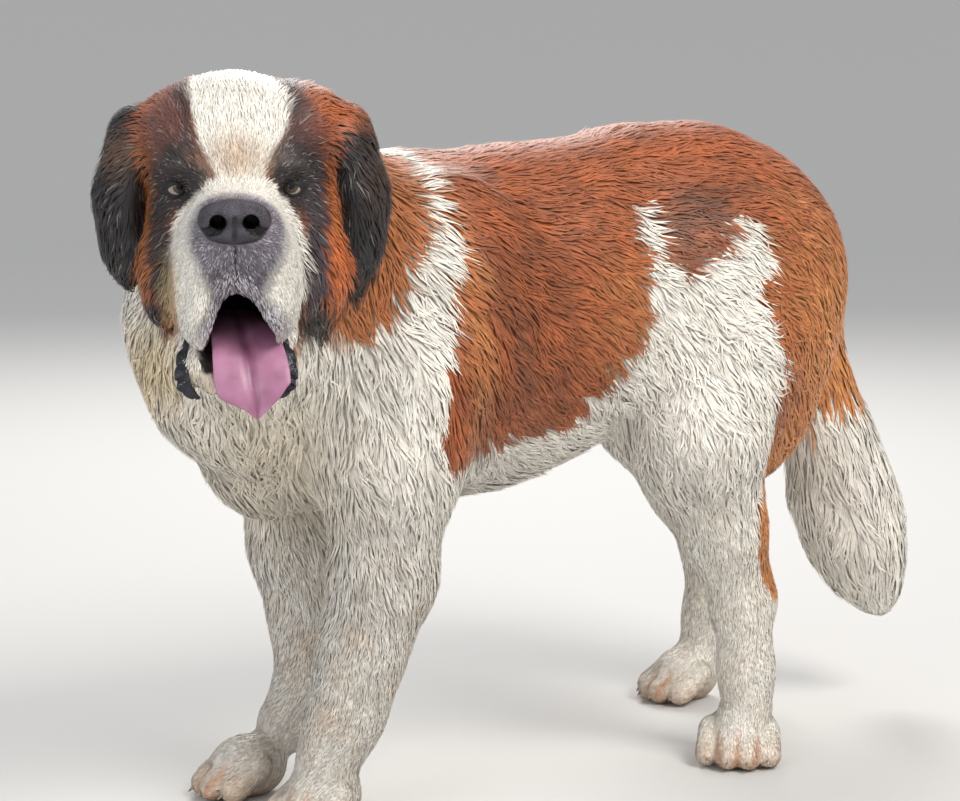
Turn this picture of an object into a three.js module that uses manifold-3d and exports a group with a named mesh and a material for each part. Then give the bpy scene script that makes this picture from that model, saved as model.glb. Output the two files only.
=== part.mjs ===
// A Saint Bernard standing on all fours, its head turned to its left and its mouth open in a pant.
// Millimetres, +Z up. The dog faces -X and its left side is towards -Y. The floor is z = 0.
// The body is one smooth form, blended from rounded masses out to the tips of the coat,
// and then parted with thin cuts into the pieces that a person would name.
import * as THREE from "three";
import { mergeVertices } from "three/addons/utils/BufferGeometryUtils.js";
import Module from "manifold-3d";

const wasm = await Module();
wasm.setup();

// Driving dimensions, in millimetres and degrees.
const CROUP_HEIGHT = 790; // highest point of the back
const CHEST_HALF_WIDTH = 165; // half the width of the ribs, with the coat
const TRACK_FRONT = 84; // each fore paw's centre from the middle line
const TRACK_HIND = 145; // each hind paw's centre from the middle line
const PAW_LENGTH = 124;
const EYE_SPACING = 60; // each eye's centre from the middle of the face
const EYE_RADIUS = 14;
const HEAD_PLACE = [-531, -200, 752]; // the point midway between the eyes
const HEAD_YAW = 60; // how far the head is turned to the dog's left
const HEAD_PITCH = -6; // the muzzle points a little down
const ANKLE = 96; // height of the cut between a paw and its leg
const CUT = 0.4; // width of the cut between two neighbouring pieces

const radians = THREE.MathUtils.degToRad;
const { hypot, min, max, abs } = Math;

// Smooth union of two distances, with a fillet about as wide as blend.
function melt(a, b, blend) {
  const h = max(blend - abs(a - b), 0) / blend;
  return min(a, b) - h * h * blend * 0.25;
}

// Smooth cut of the form b out of the form a.
const carve = (a, b, blend) => -melt(-a, b, blend);

// An ellipsoid, turned about +Z by turn degrees and then tipped about its own cross axis by tip degrees.
function ball(centre, radii, blend = 40, turn = 0, tip = 0) {
  const [cx, cy, cz] = centre;
  const [rx, ry, rz] = radii;
  const ct = Math.cos(radians(turn));
  const st = Math.sin(radians(turn));
  const cp = Math.cos(radians(tip));
  const sp = Math.sin(radians(tip));
  const away = (x, y, z) => {
    const dx = x - cx;
    const dy = y - cy;
    const dz = z - cz;
    const ax = dx * ct + dy * st;
    const ly = dy * ct - dx * st;
    const lx = ax * cp + dz * sp;
    const lz = dz * cp - ax * sp;
    const k0 = hypot(lx / rx, ly / ry, lz / rz);
    const k1 = hypot(lx / (rx * rx), ly / (ry * ry), lz / (rz * rz));
    return k1 > 0 ? (k0 * (k0 - 1)) / k1 : -min(rx, ry, rz);
  };
  return { away, blend, centre, reach: max(rx, ry, rz) };
}

// A round bar from one point to another, with a radius at each end. flat squashes it across the given axis.
function bar(from, r0, to, r1, blend = 30, flat = 1, across = [0, 1, 0]) {
  const a = new THREE.Vector3(...from);
  const ab = new THREE.Vector3(...to).sub(a);
  const side = new THREE.Vector3(...across).normalize();
  const long = ab.lengthSq();
  const more = 1 / flat - 1;
  const away = (x, y, z) => {
    const px = x - a.x;
    const py = y - a.y;
    const pz = z - a.z;
    const h = min(1, max(0, (px * ab.x + py * ab.y + pz * ab.z) / long));
    let qx = px - ab.x * h;
    let qy = py - ab.y * h;
    let qz = pz - ab.z * h;
    const s = (qx * side.x + qy * side.y + qz * side.z) * more;
    qx += side.x * s;
    qy += side.y * s;
    qz += side.z * s;
    return hypot(qx, qy, qz) - (r0 + (r1 - r0) * h);
  };
  const centre = a.clone().addScaledVector(ab, 0.5).toArray();
  return { away, blend, centre, reach: Math.sqrt(long) / 2 + max(r0, r1) };
}

// Bars end to end through a list of [point, radius].
const chain = (stops, blend = 30, flat = 1, across = [0, 1, 0]) =>
  stops.slice(1).map(([to, r1], i) => bar(stops[i][0], stops[i][1], to, r1, blend, flat, across));

// The distance from a list of forms, each melted into those before it. Forms too far to matter are skipped.
function blended(forms) {
  return (x, y, z) => {
    let d = 1e4;
    for (const { away, blend, centre, reach } of forms) {
      const room = (max(d, 0) + blend) * 1.5 + reach + 20;
      const dx = x - centre[0];
      const dy = y - centre[1];
      const dz = z - centre[2];
      if (dx * dx + dy * dy + dz * dz < room * room) d = melt(d, away(x, y, z), blend);
    }
    return d;
  };
}

// Trunk, from the withers at -X to the buttocks at +X.
const trunkForms = [
  ball([-105, 0, 556], [252, CHEST_HALF_WIDTH, 204], 60),
  ball([80, 0, 600], [230, 150, 176], 80),
  ball([268, 0, CROUP_HEIGHT - 156], [178, 148, 156], 60),
  ...chain([[[-185, 0, 690], 80], [[-60, 0, 688], 74], [[150, 0, 710], 80], [[250, 0, 708], 80], [[350, 0, 690], 72]], 50),
  ball([-245, 0, 508], [150, 140, 158], 50),
  ...[-1, 1].flatMap((s) => [
    ball([-190, s * 105, 575], [112, 68, 180], 50),
    ball([345, s * 72, 590], [100, 80, 135], 50),
  ]),
];

// Neck and ruff: the neck leaves the shoulders along -X and bends to the left, up to the nape.
const neckForms = [
  ...chain([[[-215, 0, 605], 162], [[-320, -8, 632], 150], [[-395, -48, 686], 132], [[-440, -105, 735], 110]], 50),
  ...chain([[[-330, 0, 500], 122], [[-400, -8, 526], 107], [[-450, -72, 590], 108]], 60),
  ball([-448, 0, 557], [78, 80, 106], 50),
  ball([-359, 52, 430], [70, 80, 90], 50),
  ball([-452, 44, 600], [78, 80, 80], 50),
];

// A fore leg, from the shoulder to the pastern. side is -1 on the left, and places gives x at each stop below it.
const foreLegForms = (side, [arm, elbow, knee, pastern, ankle]) =>
  chain(
    [
      [[-255, side * 128, 520], 86],
      [[arm, side * 126, 420], 74],
      [[elbow, side * 112, 290], 58],
      [[knee, side * 100, 200], 45],
      [[pastern, side * 90, 130], 38],
      [[ankle, side * 86, 78], 38],
    ],
    44,
  );

// A hind leg: thigh, stifle, hock and rear pastern.
const hindLegForms = (side, foot, stifle, hock) => [
  ball([stifle[0] + 85, side * 110, 530], [142, 76, 185], 60, 0, 18),
  ...chain(
    [
      [[stifle[0] + 52, side * 118, 500], 98],
      [stifle, 84],
      [[(stifle[0] + hock[0]) / 2 + 6, (stifle[1] + hock[1]) / 2, 305], 49],
      [hock, 34],
      [[(hock[0] + foot[0]) / 2 + 10, (hock[1] + foot[1]) / 2, 120], 29],
      [[foot[0] + 14, foot[1], 70], 32],
    ],
    40,
  ),
  bar([hock[0] + 2, hock[1], 252], 24, [hock[0] + 22, hock[1], 214], 20, 30),
];

// Toe places across a paw, from the outer toe to the inner one.
const TOES = [-1.5, -0.5, 0.5, 1.5];
const toeSpread = 0.19 * PAW_LENGTH;
const toeReach = (t) => (abs(t) > 1 ? 0.15 : 0.28) * PAW_LENGTH;

// A point of a paw at ahead and aside of its centre, for a paw that points along heading degrees from -X.
function onPaw([x, y], heading, ahead, aside, up) {
  const c = Math.cos(radians(heading));
  const s = Math.sin(radians(heading));
  return [x - ahead * c - aside * s, y - ahead * s + aside * c, up];
}

// A paw: a heel and four toes with clefts between them. It reaches a little under the floor and is trimmed there.
const pawForms = ({ centre, heading }) => [
  ball(onPaw(centre, heading, -0.1 * PAW_LENGTH, 0, 34), [0.4 * PAW_LENGTH, 40, 40], 18, heading),
  ...TOES.map((t) =>
    bar(
      onPaw(centre, heading, toeReach(t) - 30, t * toeSpread * 0.95, 40),
      19,
      onPaw(centre, heading, toeReach(t) + 5, t * toeSpread * 1.08, 17),
      17,
      5,
    ),
  ),
];

// Tail: it hangs behind the buttocks, thickest where its long hair begins, and ends in a point.
const tailForms = chain(
  [
    [[400, 0, 690], 56],
    [[448, 0, 610], 42],
    [[468, 0, 540], 42],
    [[482, 0, 450], 48],
    [[504, 0, 375], 64],
    [[526, 0, 305], 76],
    [[552, 0, 245], 75],
    [[577, 0, 192], 57],
    [[597, 0, 150], 30],
    [[609, 0, 124], 7],
  ],
  26,
  0.86,
);

const PAWS = {
  fore_left: { centre: [-368, -TRACK_FRONT], heading: 4 },
  fore_right: { centre: [-372, TRACK_FRONT], heading: -6 },
  hind_left: { centre: [219, -TRACK_HIND - 8], heading: 48 },
  hind_right: { centre: [370, TRACK_HIND + 8], heading: -4 },
};

const bodyForms = [
  ...trunkForms,
  ...neckForms,
  ...foreLegForms(-1, [-286, -290, -312, -327, -350]),
  ...foreLegForms(1, [-272, -265, -257, -258, -302]),
  ...hindLegForms(-1, [219, -152, 0], [148, -150, 425], [227, -146, 200]),
  ...hindLegForms(1, [396, 150, 0], [306, 140, 425], [420, 142, 200]),
  ...tailForms,
  ...Object.values(PAWS).flatMap(pawForms),
];

// The head has its own axes: ahead along the muzzle, aside to the dog's left, and up. Its origin is between the eyes.
const yaw = radians(HEAD_YAW);
const pitch = radians(HEAD_PITCH);
const AHEAD = new THREE.Vector3(
  -Math.cos(yaw) * Math.cos(pitch),
  -Math.sin(yaw) * Math.cos(pitch),
  Math.sin(pitch),
);
const ASIDE = new THREE.Vector3(Math.sin(yaw), -Math.cos(yaw), 0);
const UP = new THREE.Vector3().crossVectors(AHEAD, ASIDE);
const headMatrix = new THREE.Matrix4().makeBasis(AHEAD, ASIDE, UP).setPosition(...HEAD_PLACE);

// A field given in the head's axes, read at a point of the whole dog.
function inHead(field) {
  return (x, y, z) => {
    const dx = x - HEAD_PLACE[0];
    const dy = y - HEAD_PLACE[1];
    const dz = z - HEAD_PLACE[2];
    const f = dx * AHEAD.x + dy * AHEAD.y + dz * AHEAD.z;
    const l = dx * ASIDE.x + dy * ASIDE.y;
    const u = dx * UP.x + dy * UP.y + dz * UP.z;
    return field(f, l, u);
  };
}

// Each form given once and once more mirrored to the other side of the face.
const pair = (make) => [-1, 1].map((s) => make(s));

// Skull, brows, cheeks, muzzle and hanging flews, in the head's axes.
const skullForms = [
  ball([-72, 0, 32], [94, 94, 86], 30),
  ball([-72, -52, 50], [66, 46, 50], 26),
  ball([-92, 74, 64], [58, 50, 40], 26),
  ...pair((s) => ball([-26, s * 34, 26], [42, 40, 48], 26)),
  ...pair((s) => ball([0, s * 48, 22], [20, 32, 13], 12)),
  ...pair((s) => ball([-64, s * 54, -38], [66, 44, 80], 26)),
  ...pair((s) => ball([-50, s * 66, -92], [46, 32, 58], 26)),
  ball([-44, -79, -110], [40, 28, 54], 20),
  ball([-52, 82, -104], [44, 44, 60], 22),
  ball([42, 0, -26], [72, 46, 34], 34),
  ...pair((s) => ball([52, s * 25, -62], [57, 38, 48], 20)),
  ...pair((s) => ball([54, s * 37, -112], [46, 23, 52], 16)),
  ...pair((s) => ball([14, s * 47, -100], [52, 24, 58], 24)),
];
const lowerJawForms = pair((s) =>
  chain([[[-70, s * 46, -112], 30], [[0, s * 44, -158], 22], [[46, s * 44, -186], 18], [[66, s * 22, -202], 14]], 14),
).flat();
lowerJawForms.push(bar([66, -22, -202], 14, [66, 22, -202], 14, 14), ball([16, 0, -184], [56, 42, 20], 18));
const mouthForms = [ball([70, 8, -162], [60, 35, 56], 12), ball([6, 0, -140], [74, 36, 24], 16)];
const mouth = inHead(blended(mouthForms));
const blendedSkull = blended(skullForms);
const blendedSockets = blended(pair((s) => ball([14, s * EYE_SPACING, -1], [13, 15, 11], 4)));
const skull = inHead((f, l, u) => carve(blendedSkull(f, l, u), blendedSockets(f, l, u), 6));
const body = blended(bodyForms);
const upperDog = (x, y, z) => carve(melt(body(x, y, z), skull(x, y, z), 32), mouth(x, y, z), 8);
const lowerJaw = inHead(blended(lowerJawForms));
const lowerJawOpen = (x, y, z) => carve(lowerJaw(x, y, z), mouth(x, y, z), 6);

// Ears: a thick fold at the root and a rounded leaf hanging down beside the cheek.
const earForms = (s, out) =>
  chain(
    [
      [[-86, s * 82, 60], 32],
      [[-88, s * (112 + out), 36], 42],
      [[-84, s * (126 + out), -22], 48],
      [[-80, s * (123 + out), -74], 40],
      [[-76, s * (115 + out), -112], 18],
    ],
    24,
    0.5,
    [0.3, s * 0.95, 0.1],
  );

// Tongue: broad and thin, over the lower lip and hanging, with its tip a little curled.
const tongueForms = [
  bar([-30, 0, -152], 24, [36, 6, -158], 34, 12, 0.28, [0.1, 0, 1]),
  bar([36, 6, -158], 34, [70, 14, -170], 38, 12, 0.26, [0.4, 0, 1]),
  bar([70, 14, -170], 38, [88, 19, -190], 36, 12, 0.26, [0.9, 0, 0.8]),
  bar([88, 19, -190], 36, [97, 20, -214], 17, 12, 0.28, [1, 0, 0.3]),
];

// Nose leather on the front of the muzzle.
const noseForms = [
  ball([100, 0, -12], [18, 32, 17], 8),
  ...pair((s) => ball([98, s * 23, -19], [16, 15, 16], 8)),
  ...pair((s) => ball([100, s * 13, -31], [13, 15, 11], 8)),
  ball([101, 0, -30], [13, 13, 12], 8),
];
const nostrilForms = pair((s) => bar([125, s * 15.5, -20], 8.3, [106, s * 18, -16], 7, 3));
const nose = (f, l, u) => carve(blended(noseForms)(f, l, u), blended(nostrilForms)(f, l, u), 3);

// Places from a to b, one step apart.
const places = (a, b, step) => Array.from({ length: Math.ceil((b - a) / step) + 1 }, (_, i) => a + i * step);

// The six tetrahedra of a grid cell, the ways to take one or two of a tetrahedron's corners, and their other corners.
const TETRAHEDRA = [
  [0, 1, 3, 7],
  [0, 3, 2, 7],
  [0, 2, 6, 7],
  [0, 6, 4, 7],
  [0, 4, 5, 7],
  [0, 5, 1, 7],
];
const ONE = [[0, 1, 2, 3], [1, 0, 3, 2], [2, 0, 1, 3], [3, 0, 2, 1]];
const TWO = { 3: [0, 1, 2, 3], 5: [0, 2, 3, 1], 9: [0, 3, 1, 2], 6: [1, 2, 0, 3], 10: [1, 3, 2, 0], 12: [2, 3, 0, 1] };

// The surface where a field is zero, inside a box, as a closed mesh of points and triangles.
function polygonise(field, [low, high], step) {
  const [xs, ys, zs] = [0, 1, 2].map((i) => places(low[i], high[i], step));
  const [nx, ny, nz] = [xs.length, ys.length, zs.length];
  const values = new Float32Array(nx * ny * nz).fill(step);
  for (let k = 1; k < nz - 1; k++) {
    for (let j = 1; j < ny - 1; j++) {
      for (let i = 1; i < nx - 1; i++) values[(k * ny + j) * nx + i] = field(xs[i], ys[j], zs[k]);
    }
  }
  const offset = [0, 1, nx, nx + 1, nx * ny, nx * ny + 1, nx * ny + nx, nx * ny + nx + 1];
  const place = (n) => [xs[n % nx], ys[Math.floor(n / nx) % ny], zs[Math.floor(n / (nx * ny))]];
  const points = [];
  const triangles = [];
  const known = new Map();
  const crossing = (a, b) => {
    const key = min(a, b) * 4e6 + max(a, b);
    if (!known.has(key)) {
      const t = values[a] / (values[a] - values[b]);
      const [p, q] = [place(a), place(b)];
      known.set(key, points.length);
      points.push(p.map((v, i) => v + (q[i] - v) * t));
    }
    return known.get(key);
  };
  for (let k = 0; k < nz - 1; k++) {
    for (let j = 0; j < ny - 1; j++) {
      for (let i = 0; i < nx - 1; i++) {
        const base = (k * ny + j) * nx + i;
        let within = 0;
        for (const o of offset) if (values[base + o] < 0) within++;
        if (within === 0 || within === 8) continue;
        for (const tetrahedron of TETRAHEDRA) {
          const corner = tetrahedron.map((c) => base + offset[c]);
          let mask = 0;
          for (let c = 0; c < 4; c++) if (values[corner[c]] < 0) mask |= 1 << c;
          if (mask === 0 || mask === 15) continue;
          const few = mask in TWO ? 2 : [1, 2, 4, 8].includes(mask) ? 1 : 3;
          if (few === 2) {
            const [a, b, c, d] = TWO[mask].map((c) => corner[c]);
            const [p, q, r, s] = [crossing(a, c), crossing(a, d), crossing(b, d), crossing(b, c)];
            triangles.push([p, q, r], [p, r, s]);
          } else {
            const [a, b, c, d] = ONE[Math.log2(few === 1 ? mask : 15 - mask)].map((c) => corner[c]);
            const [p, q, r] = [crossing(a, b), crossing(a, c), crossing(a, d)];
            triangles.push(few === 1 ? [p, q, r] : [p, r, q]);
          }
        }
      }
    }
  }
  return { points, triangles };
}

// The plane quadric of a triangle as the ten numbers of a symmetric four by four matrix, and sums of such.
function quadricOf(p, q, r) {
  const a = new THREE.Vector3(...p);
  const n = new THREE.Vector3(...q).sub(a).cross(new THREE.Vector3(...r).sub(a));
  const area = n.length();
  if (area === 0) return new Array(10).fill(0);
  n.divideScalar(area);
  const w = -n.dot(a);
  return [n.x * n.x, n.x * n.y, n.x * n.z, n.x * w, n.y * n.y, n.y * n.z, n.y * w, n.z * n.z, n.z * w, w * w].map(
    (v) => v * area,
  );
}
const spoil = (m, [x, y, z]) =>
  m[0] * x * x + m[4] * y * y + m[7] * z * z + m[9] +
  2 * (m[1] * x * y + m[2] * x * z + m[3] * x + m[5] * y * z + m[6] * y + m[8] * z);

// The point that spoils the fewest planes, or the middle of the edge where no such point is near.
function bestPoint(m, p, q) {
  const middle = p.map((v, i) => (v + q[i]) / 2);
  const matrix = new THREE.Matrix3().set(m[0], m[1], m[2], m[1], m[4], m[5], m[2], m[5], m[7]);
  const size = m[0] + m[4] + m[7];
  if (abs(matrix.determinant()) > 1e-4 * size ** 3) {
    const best = new THREE.Vector3(-m[3], -m[6], -m[8]).applyMatrix3(matrix.invert());
    const far = best.distanceTo(new THREE.Vector3(...middle));
    if (far < 1.5 * hypot(p[0] - q[0], p[1] - q[1], p[2] - q[2])) return best.toArray();
  }
  return middle;
}

// A least-first queue of [cost, ...] entries.
class Queue {
  items = [];
  push(item) {
    const list = this.items;
    let i = list.push(item) - 1;
    while (i > 0 && list[(i - 1) >> 1][0] > item[0]) {
      list[i] = list[(i - 1) >> 1];
      i = (i - 1) >> 1;
    }
    list[i] = item;
  }
  pop() {
    const list = this.items;
    const top = list[0];
    const last = list.pop();
    if (list.length === 0) return top;
    let i = 0;
    for (;;) {
      let c = 2 * i + 1;
      if (c >= list.length) break;
      if (c + 1 < list.length && list[c + 1][0] < list[c][0]) c++;
      if (list[c][0] >= last[0]) break;
      list[i] = list[c];
      i = c;
    }
    list[i] = last;
    return top;
  }
}

// Fewer triangles: the edges whose loss spoils the form least are drawn together until count triangles are left.
function thin({ points, triangles }, count) {
  const around = points.map(() => new Set());
  triangles.forEach((t, i) => t.forEach((v) => around[v].add(i)));
  const quadric = points.map(() => new Array(10).fill(0));
  for (const t of triangles) {
    const m = quadricOf(...t.map((v) => points[v]));
    for (const v of t) m.forEach((value, i) => (quadric[v][i] += value));
  }
  const neighbours = (v) => new Set([...around[v]].flatMap((t) => triangles[t]).filter((w) => w !== v));
  const stamp = new Int32Array(points.length);
  const queue = new Queue();
  const offer = (a, b) => {
    const m = quadric[a].map((value, i) => value + quadric[b][i]);
    const at = bestPoint(m, points[a], points[b]);
    const length = hypot(...points[a].map((v, i) => v - points[b][i]));
    queue.push([spoil(m, at) + 0.002 * length ** 3, a, b, stamp[a], stamp[b], at]);
  };
  points.forEach((_, a) => neighbours(a).forEach((b) => a < b && offer(a, b)));
  const turned = (t, v, at) => {
    const [p, q, r] = triangles[t].map((w) => new THREE.Vector3(...points[w]));
    const [p2, q2, r2] = triangles[t].map((w) => new THREE.Vector3(...(w === v ? at : points[w])));
    const before = q.sub(p).cross(r.sub(p)).normalize();
    const after = q2.sub(p2).cross(r2.sub(p2));
    return after.length() < 1e-6 || before.dot(after.normalize()) < 0.3;
  };
  let left = triangles.length;
  while (left > count && queue.items.length) {
    const [, a, b, stampA, stampB, at] = queue.pop();
    if (stamp[a] !== stampA || stamp[b] !== stampB || !around[a].size || !around[b].size) continue;
    const shared = [...around[a]].filter((t) => around[b].has(t));
    const nearB = neighbours(b);
    if (shared.length !== 2 || [...neighbours(a)].filter((v) => nearB.has(v)).length !== 2) continue;
    const kept = (v) => [...around[v]].filter((t) => !shared.includes(t));
    if (kept(a).some((t) => turned(t, a, at)) || kept(b).some((t) => turned(t, b, at))) continue;
    shared.forEach((t) => triangles[t].forEach((v) => around[v].delete(t)));
    for (const t of around[b]) {
      triangles[t] = triangles[t].map((v) => (v === b ? a : v));
      around[a].add(t);
    }
    around[b].clear();
    points[a] = at;
    quadric[a] = quadric[a].map((value, i) => value + quadric[b][i]);
    stamp[a]++;
    left -= 2;
    neighbours(a).forEach((v) => offer(a, v));
  }
  const used = new Set(around.flatMap((set) => [...set]));
  return { points, triangles: [...used].map((t) => triangles[t]) };
}

// Between a mesh of points and triangles, a geometry, and a solid that can be joined and cut.
function toGeometry({ points, triangles }) {
  const geometry = new THREE.BufferGeometry();
  geometry.setAttribute("position", new THREE.Float32BufferAttribute(points.flat(), 3));
  geometry.setIndex(triangles.flat());
  return geometry;
}
function toSolid(geometry) {
  const bare = geometry.clone();
  bare.deleteAttribute("normal");
  bare.deleteAttribute("uv");
  const merged = mergeVertices(bare, 1e-4);
  const vertProperties = Float32Array.from(merged.attributes.position.array);
  const triVerts = Uint32Array.from(merged.index.array);
  return new wasm.Manifold(new wasm.Mesh({ numProp: 3, vertProperties, triVerts }));
}
function fromSolid(solid) {
  const mesh = solid.getMesh();
  const geometry = new THREE.BufferGeometry();
  geometry.setAttribute("position", new THREE.Float32BufferAttribute(mesh.vertProperties, 3));
  geometry.setIndex(new THREE.Uint32BufferAttribute(mesh.triVerts, 1));
  return geometry;
}

// The same solid grown by gap all round, to cut its neighbour clear of it.
function grown(solid, gap = CUT) {
  const geometry = mergeVertices(fromSolid(solid), 1e-4);
  geometry.computeVertexNormals();
  const { position, normal } = geometry.attributes;
  for (let i = 0; i < position.count; i++) {
    position.setXYZ(
      i,
      position.getX(i) + normal.getX(i) * gap,
      position.getY(i) + normal.getY(i) * gap,
      position.getZ(i) + normal.getZ(i) * gap,
    );
  }
  return toSolid(geometry);
}

// A solid cut clear of its neighbours.
const clearOf = (solid, ...neighbours) =>
  largest(neighbours.reduce((rest, other) => rest.subtract(grown(other)).subtract(other), solid));

// The largest piece of a solid, without slivers that a cut left.
function largest(solid) {
  const pieces = solid.decompose();
  return pieces.reduce((best, piece) => (piece.volume() > best.volume() ? piece : best));
}

// A box for cutting, from its low corner to its high corner, placed by a matrix.
function region(low, high, matrix = new THREE.Matrix4()) {
  const size = high.map((v, i) => v - low[i]);
  const middle = high.map((v, i) => (v + low[i]) / 2);
  const geometry = new THREE.BoxGeometry(...size).translate(...middle).applyMatrix4(matrix);
  return toSolid(geometry);
}
const tipped = (place, degrees) =>
  new THREE.Matrix4().makeRotationY(radians(degrees)).setPosition(new THREE.Vector3(...place));

// The same region for the piece inside a cut, and a little larger for the piece left outside it.
function part(solid, ...areas) {
  const inner = areas.map((a) => region(...a)).reduce((a, b) => a.add(b));
  const outer = areas
    .map(([low, high, matrix]) => region(low.map((v) => v - CUT), high.map((v) => v + CUT), matrix))
    .reduce((a, b) => a.add(b));
  return [largest(solid.intersect(inner)), largest(solid.subtract(outer))];
}
const meshed = (field, box, step, count) => toSolid(toGeometry(thin(polygonise(field, box, step), count)));

// The whole dog down to the ankles, and then its head cut off and meshed again more finely.
const whole = meshed(upperDog, [[-680, -420, 60], [700, 290, 920]], 13, 2600);
const headTurn = headMatrix.clone().multiply(new THREE.Matrix4().makeRotationY(radians(-14)));
const headArea = [[-118, -200, -190], [260, 200, 240], headTurn];
const ankles = [[-900, -500, ANKLE], [900, 500, 1200]];
const aboveAnkles = whole.intersect(region(...ankles));
const [, headless] = part(aboveAnkles, headArea);
const fineHead = meshed(upperDog, [[-700, -380, 490], [-330, 40, 910]], 6, 1350);
const headSolid = largest(fineHead.intersect(region(...headArea)));

// Tail, then each leg with its upper arm or thigh, then the neck from the trunk.
const [tail, tailless] = part(headless, [[0, -86, -400], [400, 86, 150], tipped([440, 0, 440], 7)]);
const foreLeft = [[[-420, -300, 0], [-110, -84, 530]], [[-420, -300, 0], [-110, -6, 330]]];
const foreRight = [[[-420, 84, 0], [-110, 300, 530]], [[-420, 6, 0], [-110, 300, 330]]];
const hindLeft = [[[20, -300, 0], [520, -70, 560]], [[20, -300, 0], [520, -6, 420]]];
const hindRight = [[[60, 70, 0], [560, 300, 560]], [[60, 6, 0], [560, 300, 420]]];
const [legForeLeft, rest1] = part(tailless, ...foreLeft);
const [legForeRight, rest2] = part(rest1, ...foreRight);
const [legHindLeft, rest3] = part(rest2, ...hindLeft);
const [legHindRight, rest4] = part(rest3, ...hindRight);
const [neck, trunk] = part(rest4, [[-600, -400, -400], [0, 400, 400], tipped([-268, 0, 600], -18)]);

// Head pieces, each cut clear of what it lies on.
const headMesh = (field, low, high, step, count) => {
  const corners = new THREE.Box3(new THREE.Vector3(...low), new THREE.Vector3(...high)).applyMatrix4(headMatrix);
  return meshed(inHead(field), [corners.min.toArray(), corners.max.toArray()], step, count);
};
const eyeBall = (s) => {
  const ballShape = new THREE.SphereGeometry(EYE_RADIUS, 12, 8);
  return toSolid(ballShape.translate(-9, s * EYE_SPACING, 0).applyMatrix4(headMatrix));
};
const eyes = { left: eyeBall(1), right: eyeBall(-1) };
const noseSolid = headMesh(nose, [70, -50, -60], [130, 50, 20], 3.5, 200);
const headOpen = clearOf(headSolid, eyes.left, eyes.right, noseSolid);
const jawMesh = meshed(lowerJawOpen, [[-680, -400, 500], [-430, -60, 700]], 5.5, 220);
const jaw = clearOf(jawMesh, headOpen, neck);
const tongueMesh = headMesh(blended(tongueForms), [-70, -50, -240], [120, 50, -120], 4.5, 180);
const tongue = clearOf(tongueMesh, headOpen, neck, jaw);
const ear = (s, out) => {
  const [near, far] = s > 0 ? [55, 200] : [-200, -55];
  const leaf = headMesh(blended(earForms(s, out)), [-160, near, -145], [-20, far, 120], 6, 200);
  return clearOf(leaf, headOpen, neck, trunk, jaw);
};

// Paws, and a claw at the end of each toe.
function pawSolid({ centre: [x, y] }) {
  const box = [[x - 100, y - 100, -30], [x + 160, y + 100, ANKLE + 24]];
  const solid = meshed(upperDog, box, 6, 250);
  return largest(solid.intersect(region([x - 90, y - 90, 0], [x + 150, y + 90, ANKLE - CUT])));
}
function clawSolid({ centre, heading }, t, paw) {
  const tip = new THREE.ConeGeometry(6, 18, 6).rotateZ(radians(90)).rotateY(radians(-38));
  tip.rotateZ(radians(heading)).translate(...onPaw(centre, heading, toeReach(t) + 20, t * toeSpread * 1.07, 13));
  return clearOf(toSolid(tip).intersect(region([-900, -500, 0.5], [900, 500, 100])), paw);
}

// Materials, by what each piece looks like from a distance.
const surface = (color, roughness) => new THREE.MeshStandardMaterial({ color, roughness, metalness: 0 });
const RED_COAT = "#8a4a26";
const WHITE_COAT = "#e4ddd2";
const DARK_COAT = "#2c2422";

const dog = new THREE.Group();
function add(name, solid, color, roughness = 0.85) {
  const geometry = fromSolid(solid);
  geometry.computeVertexNormals();
  const mesh = new THREE.Mesh(geometry, surface(color, roughness));
  mesh.name = name;
  dog.add(mesh);
}

add("trunk", trunk, RED_COAT);
add("neck", neck, WHITE_COAT);
add("head", headOpen, RED_COAT);
add("lower_jaw", jaw, WHITE_COAT);
add("tongue", tongue, "#c8788c", 0.35);
add("nose", noseSolid, "#3a3438", 0.4);
add("ear_left", ear(1, 16), DARK_COAT);
add("ear_right", ear(-1, 0), DARK_COAT);
add("eye_left", eyes.left, "#2a1a10", 0.1);
add("eye_right", eyes.right, "#2a1a10", 0.1);
add("tail", tail, WHITE_COAT);
const legs = { fore_left: legForeLeft, fore_right: legForeRight, hind_left: legHindLeft, hind_right: legHindRight };
for (const [side, place] of Object.entries(PAWS)) {
  const paw = pawSolid(place);
  add(`leg_${side}`, legs[side], WHITE_COAT);
  add(`paw_${side}`, paw, WHITE_COAT);
  TOES.forEach((t, i) => add(`claw_${side}_${i + 1}`, clawSolid(place, t, paw), "#8a7c68", 0.5));
}

// The origin is on the floor, under the middle of the whole.
const middle = new THREE.Box3().setFromObject(dog, true).getCenter(new THREE.Vector3());
dog.position.set(-middle.x, -middle.y, 0);

export default dog;
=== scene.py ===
import math
import bpy
import numpy as np
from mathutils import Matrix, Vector
from mathutils.kdtree import KDTree


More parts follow.
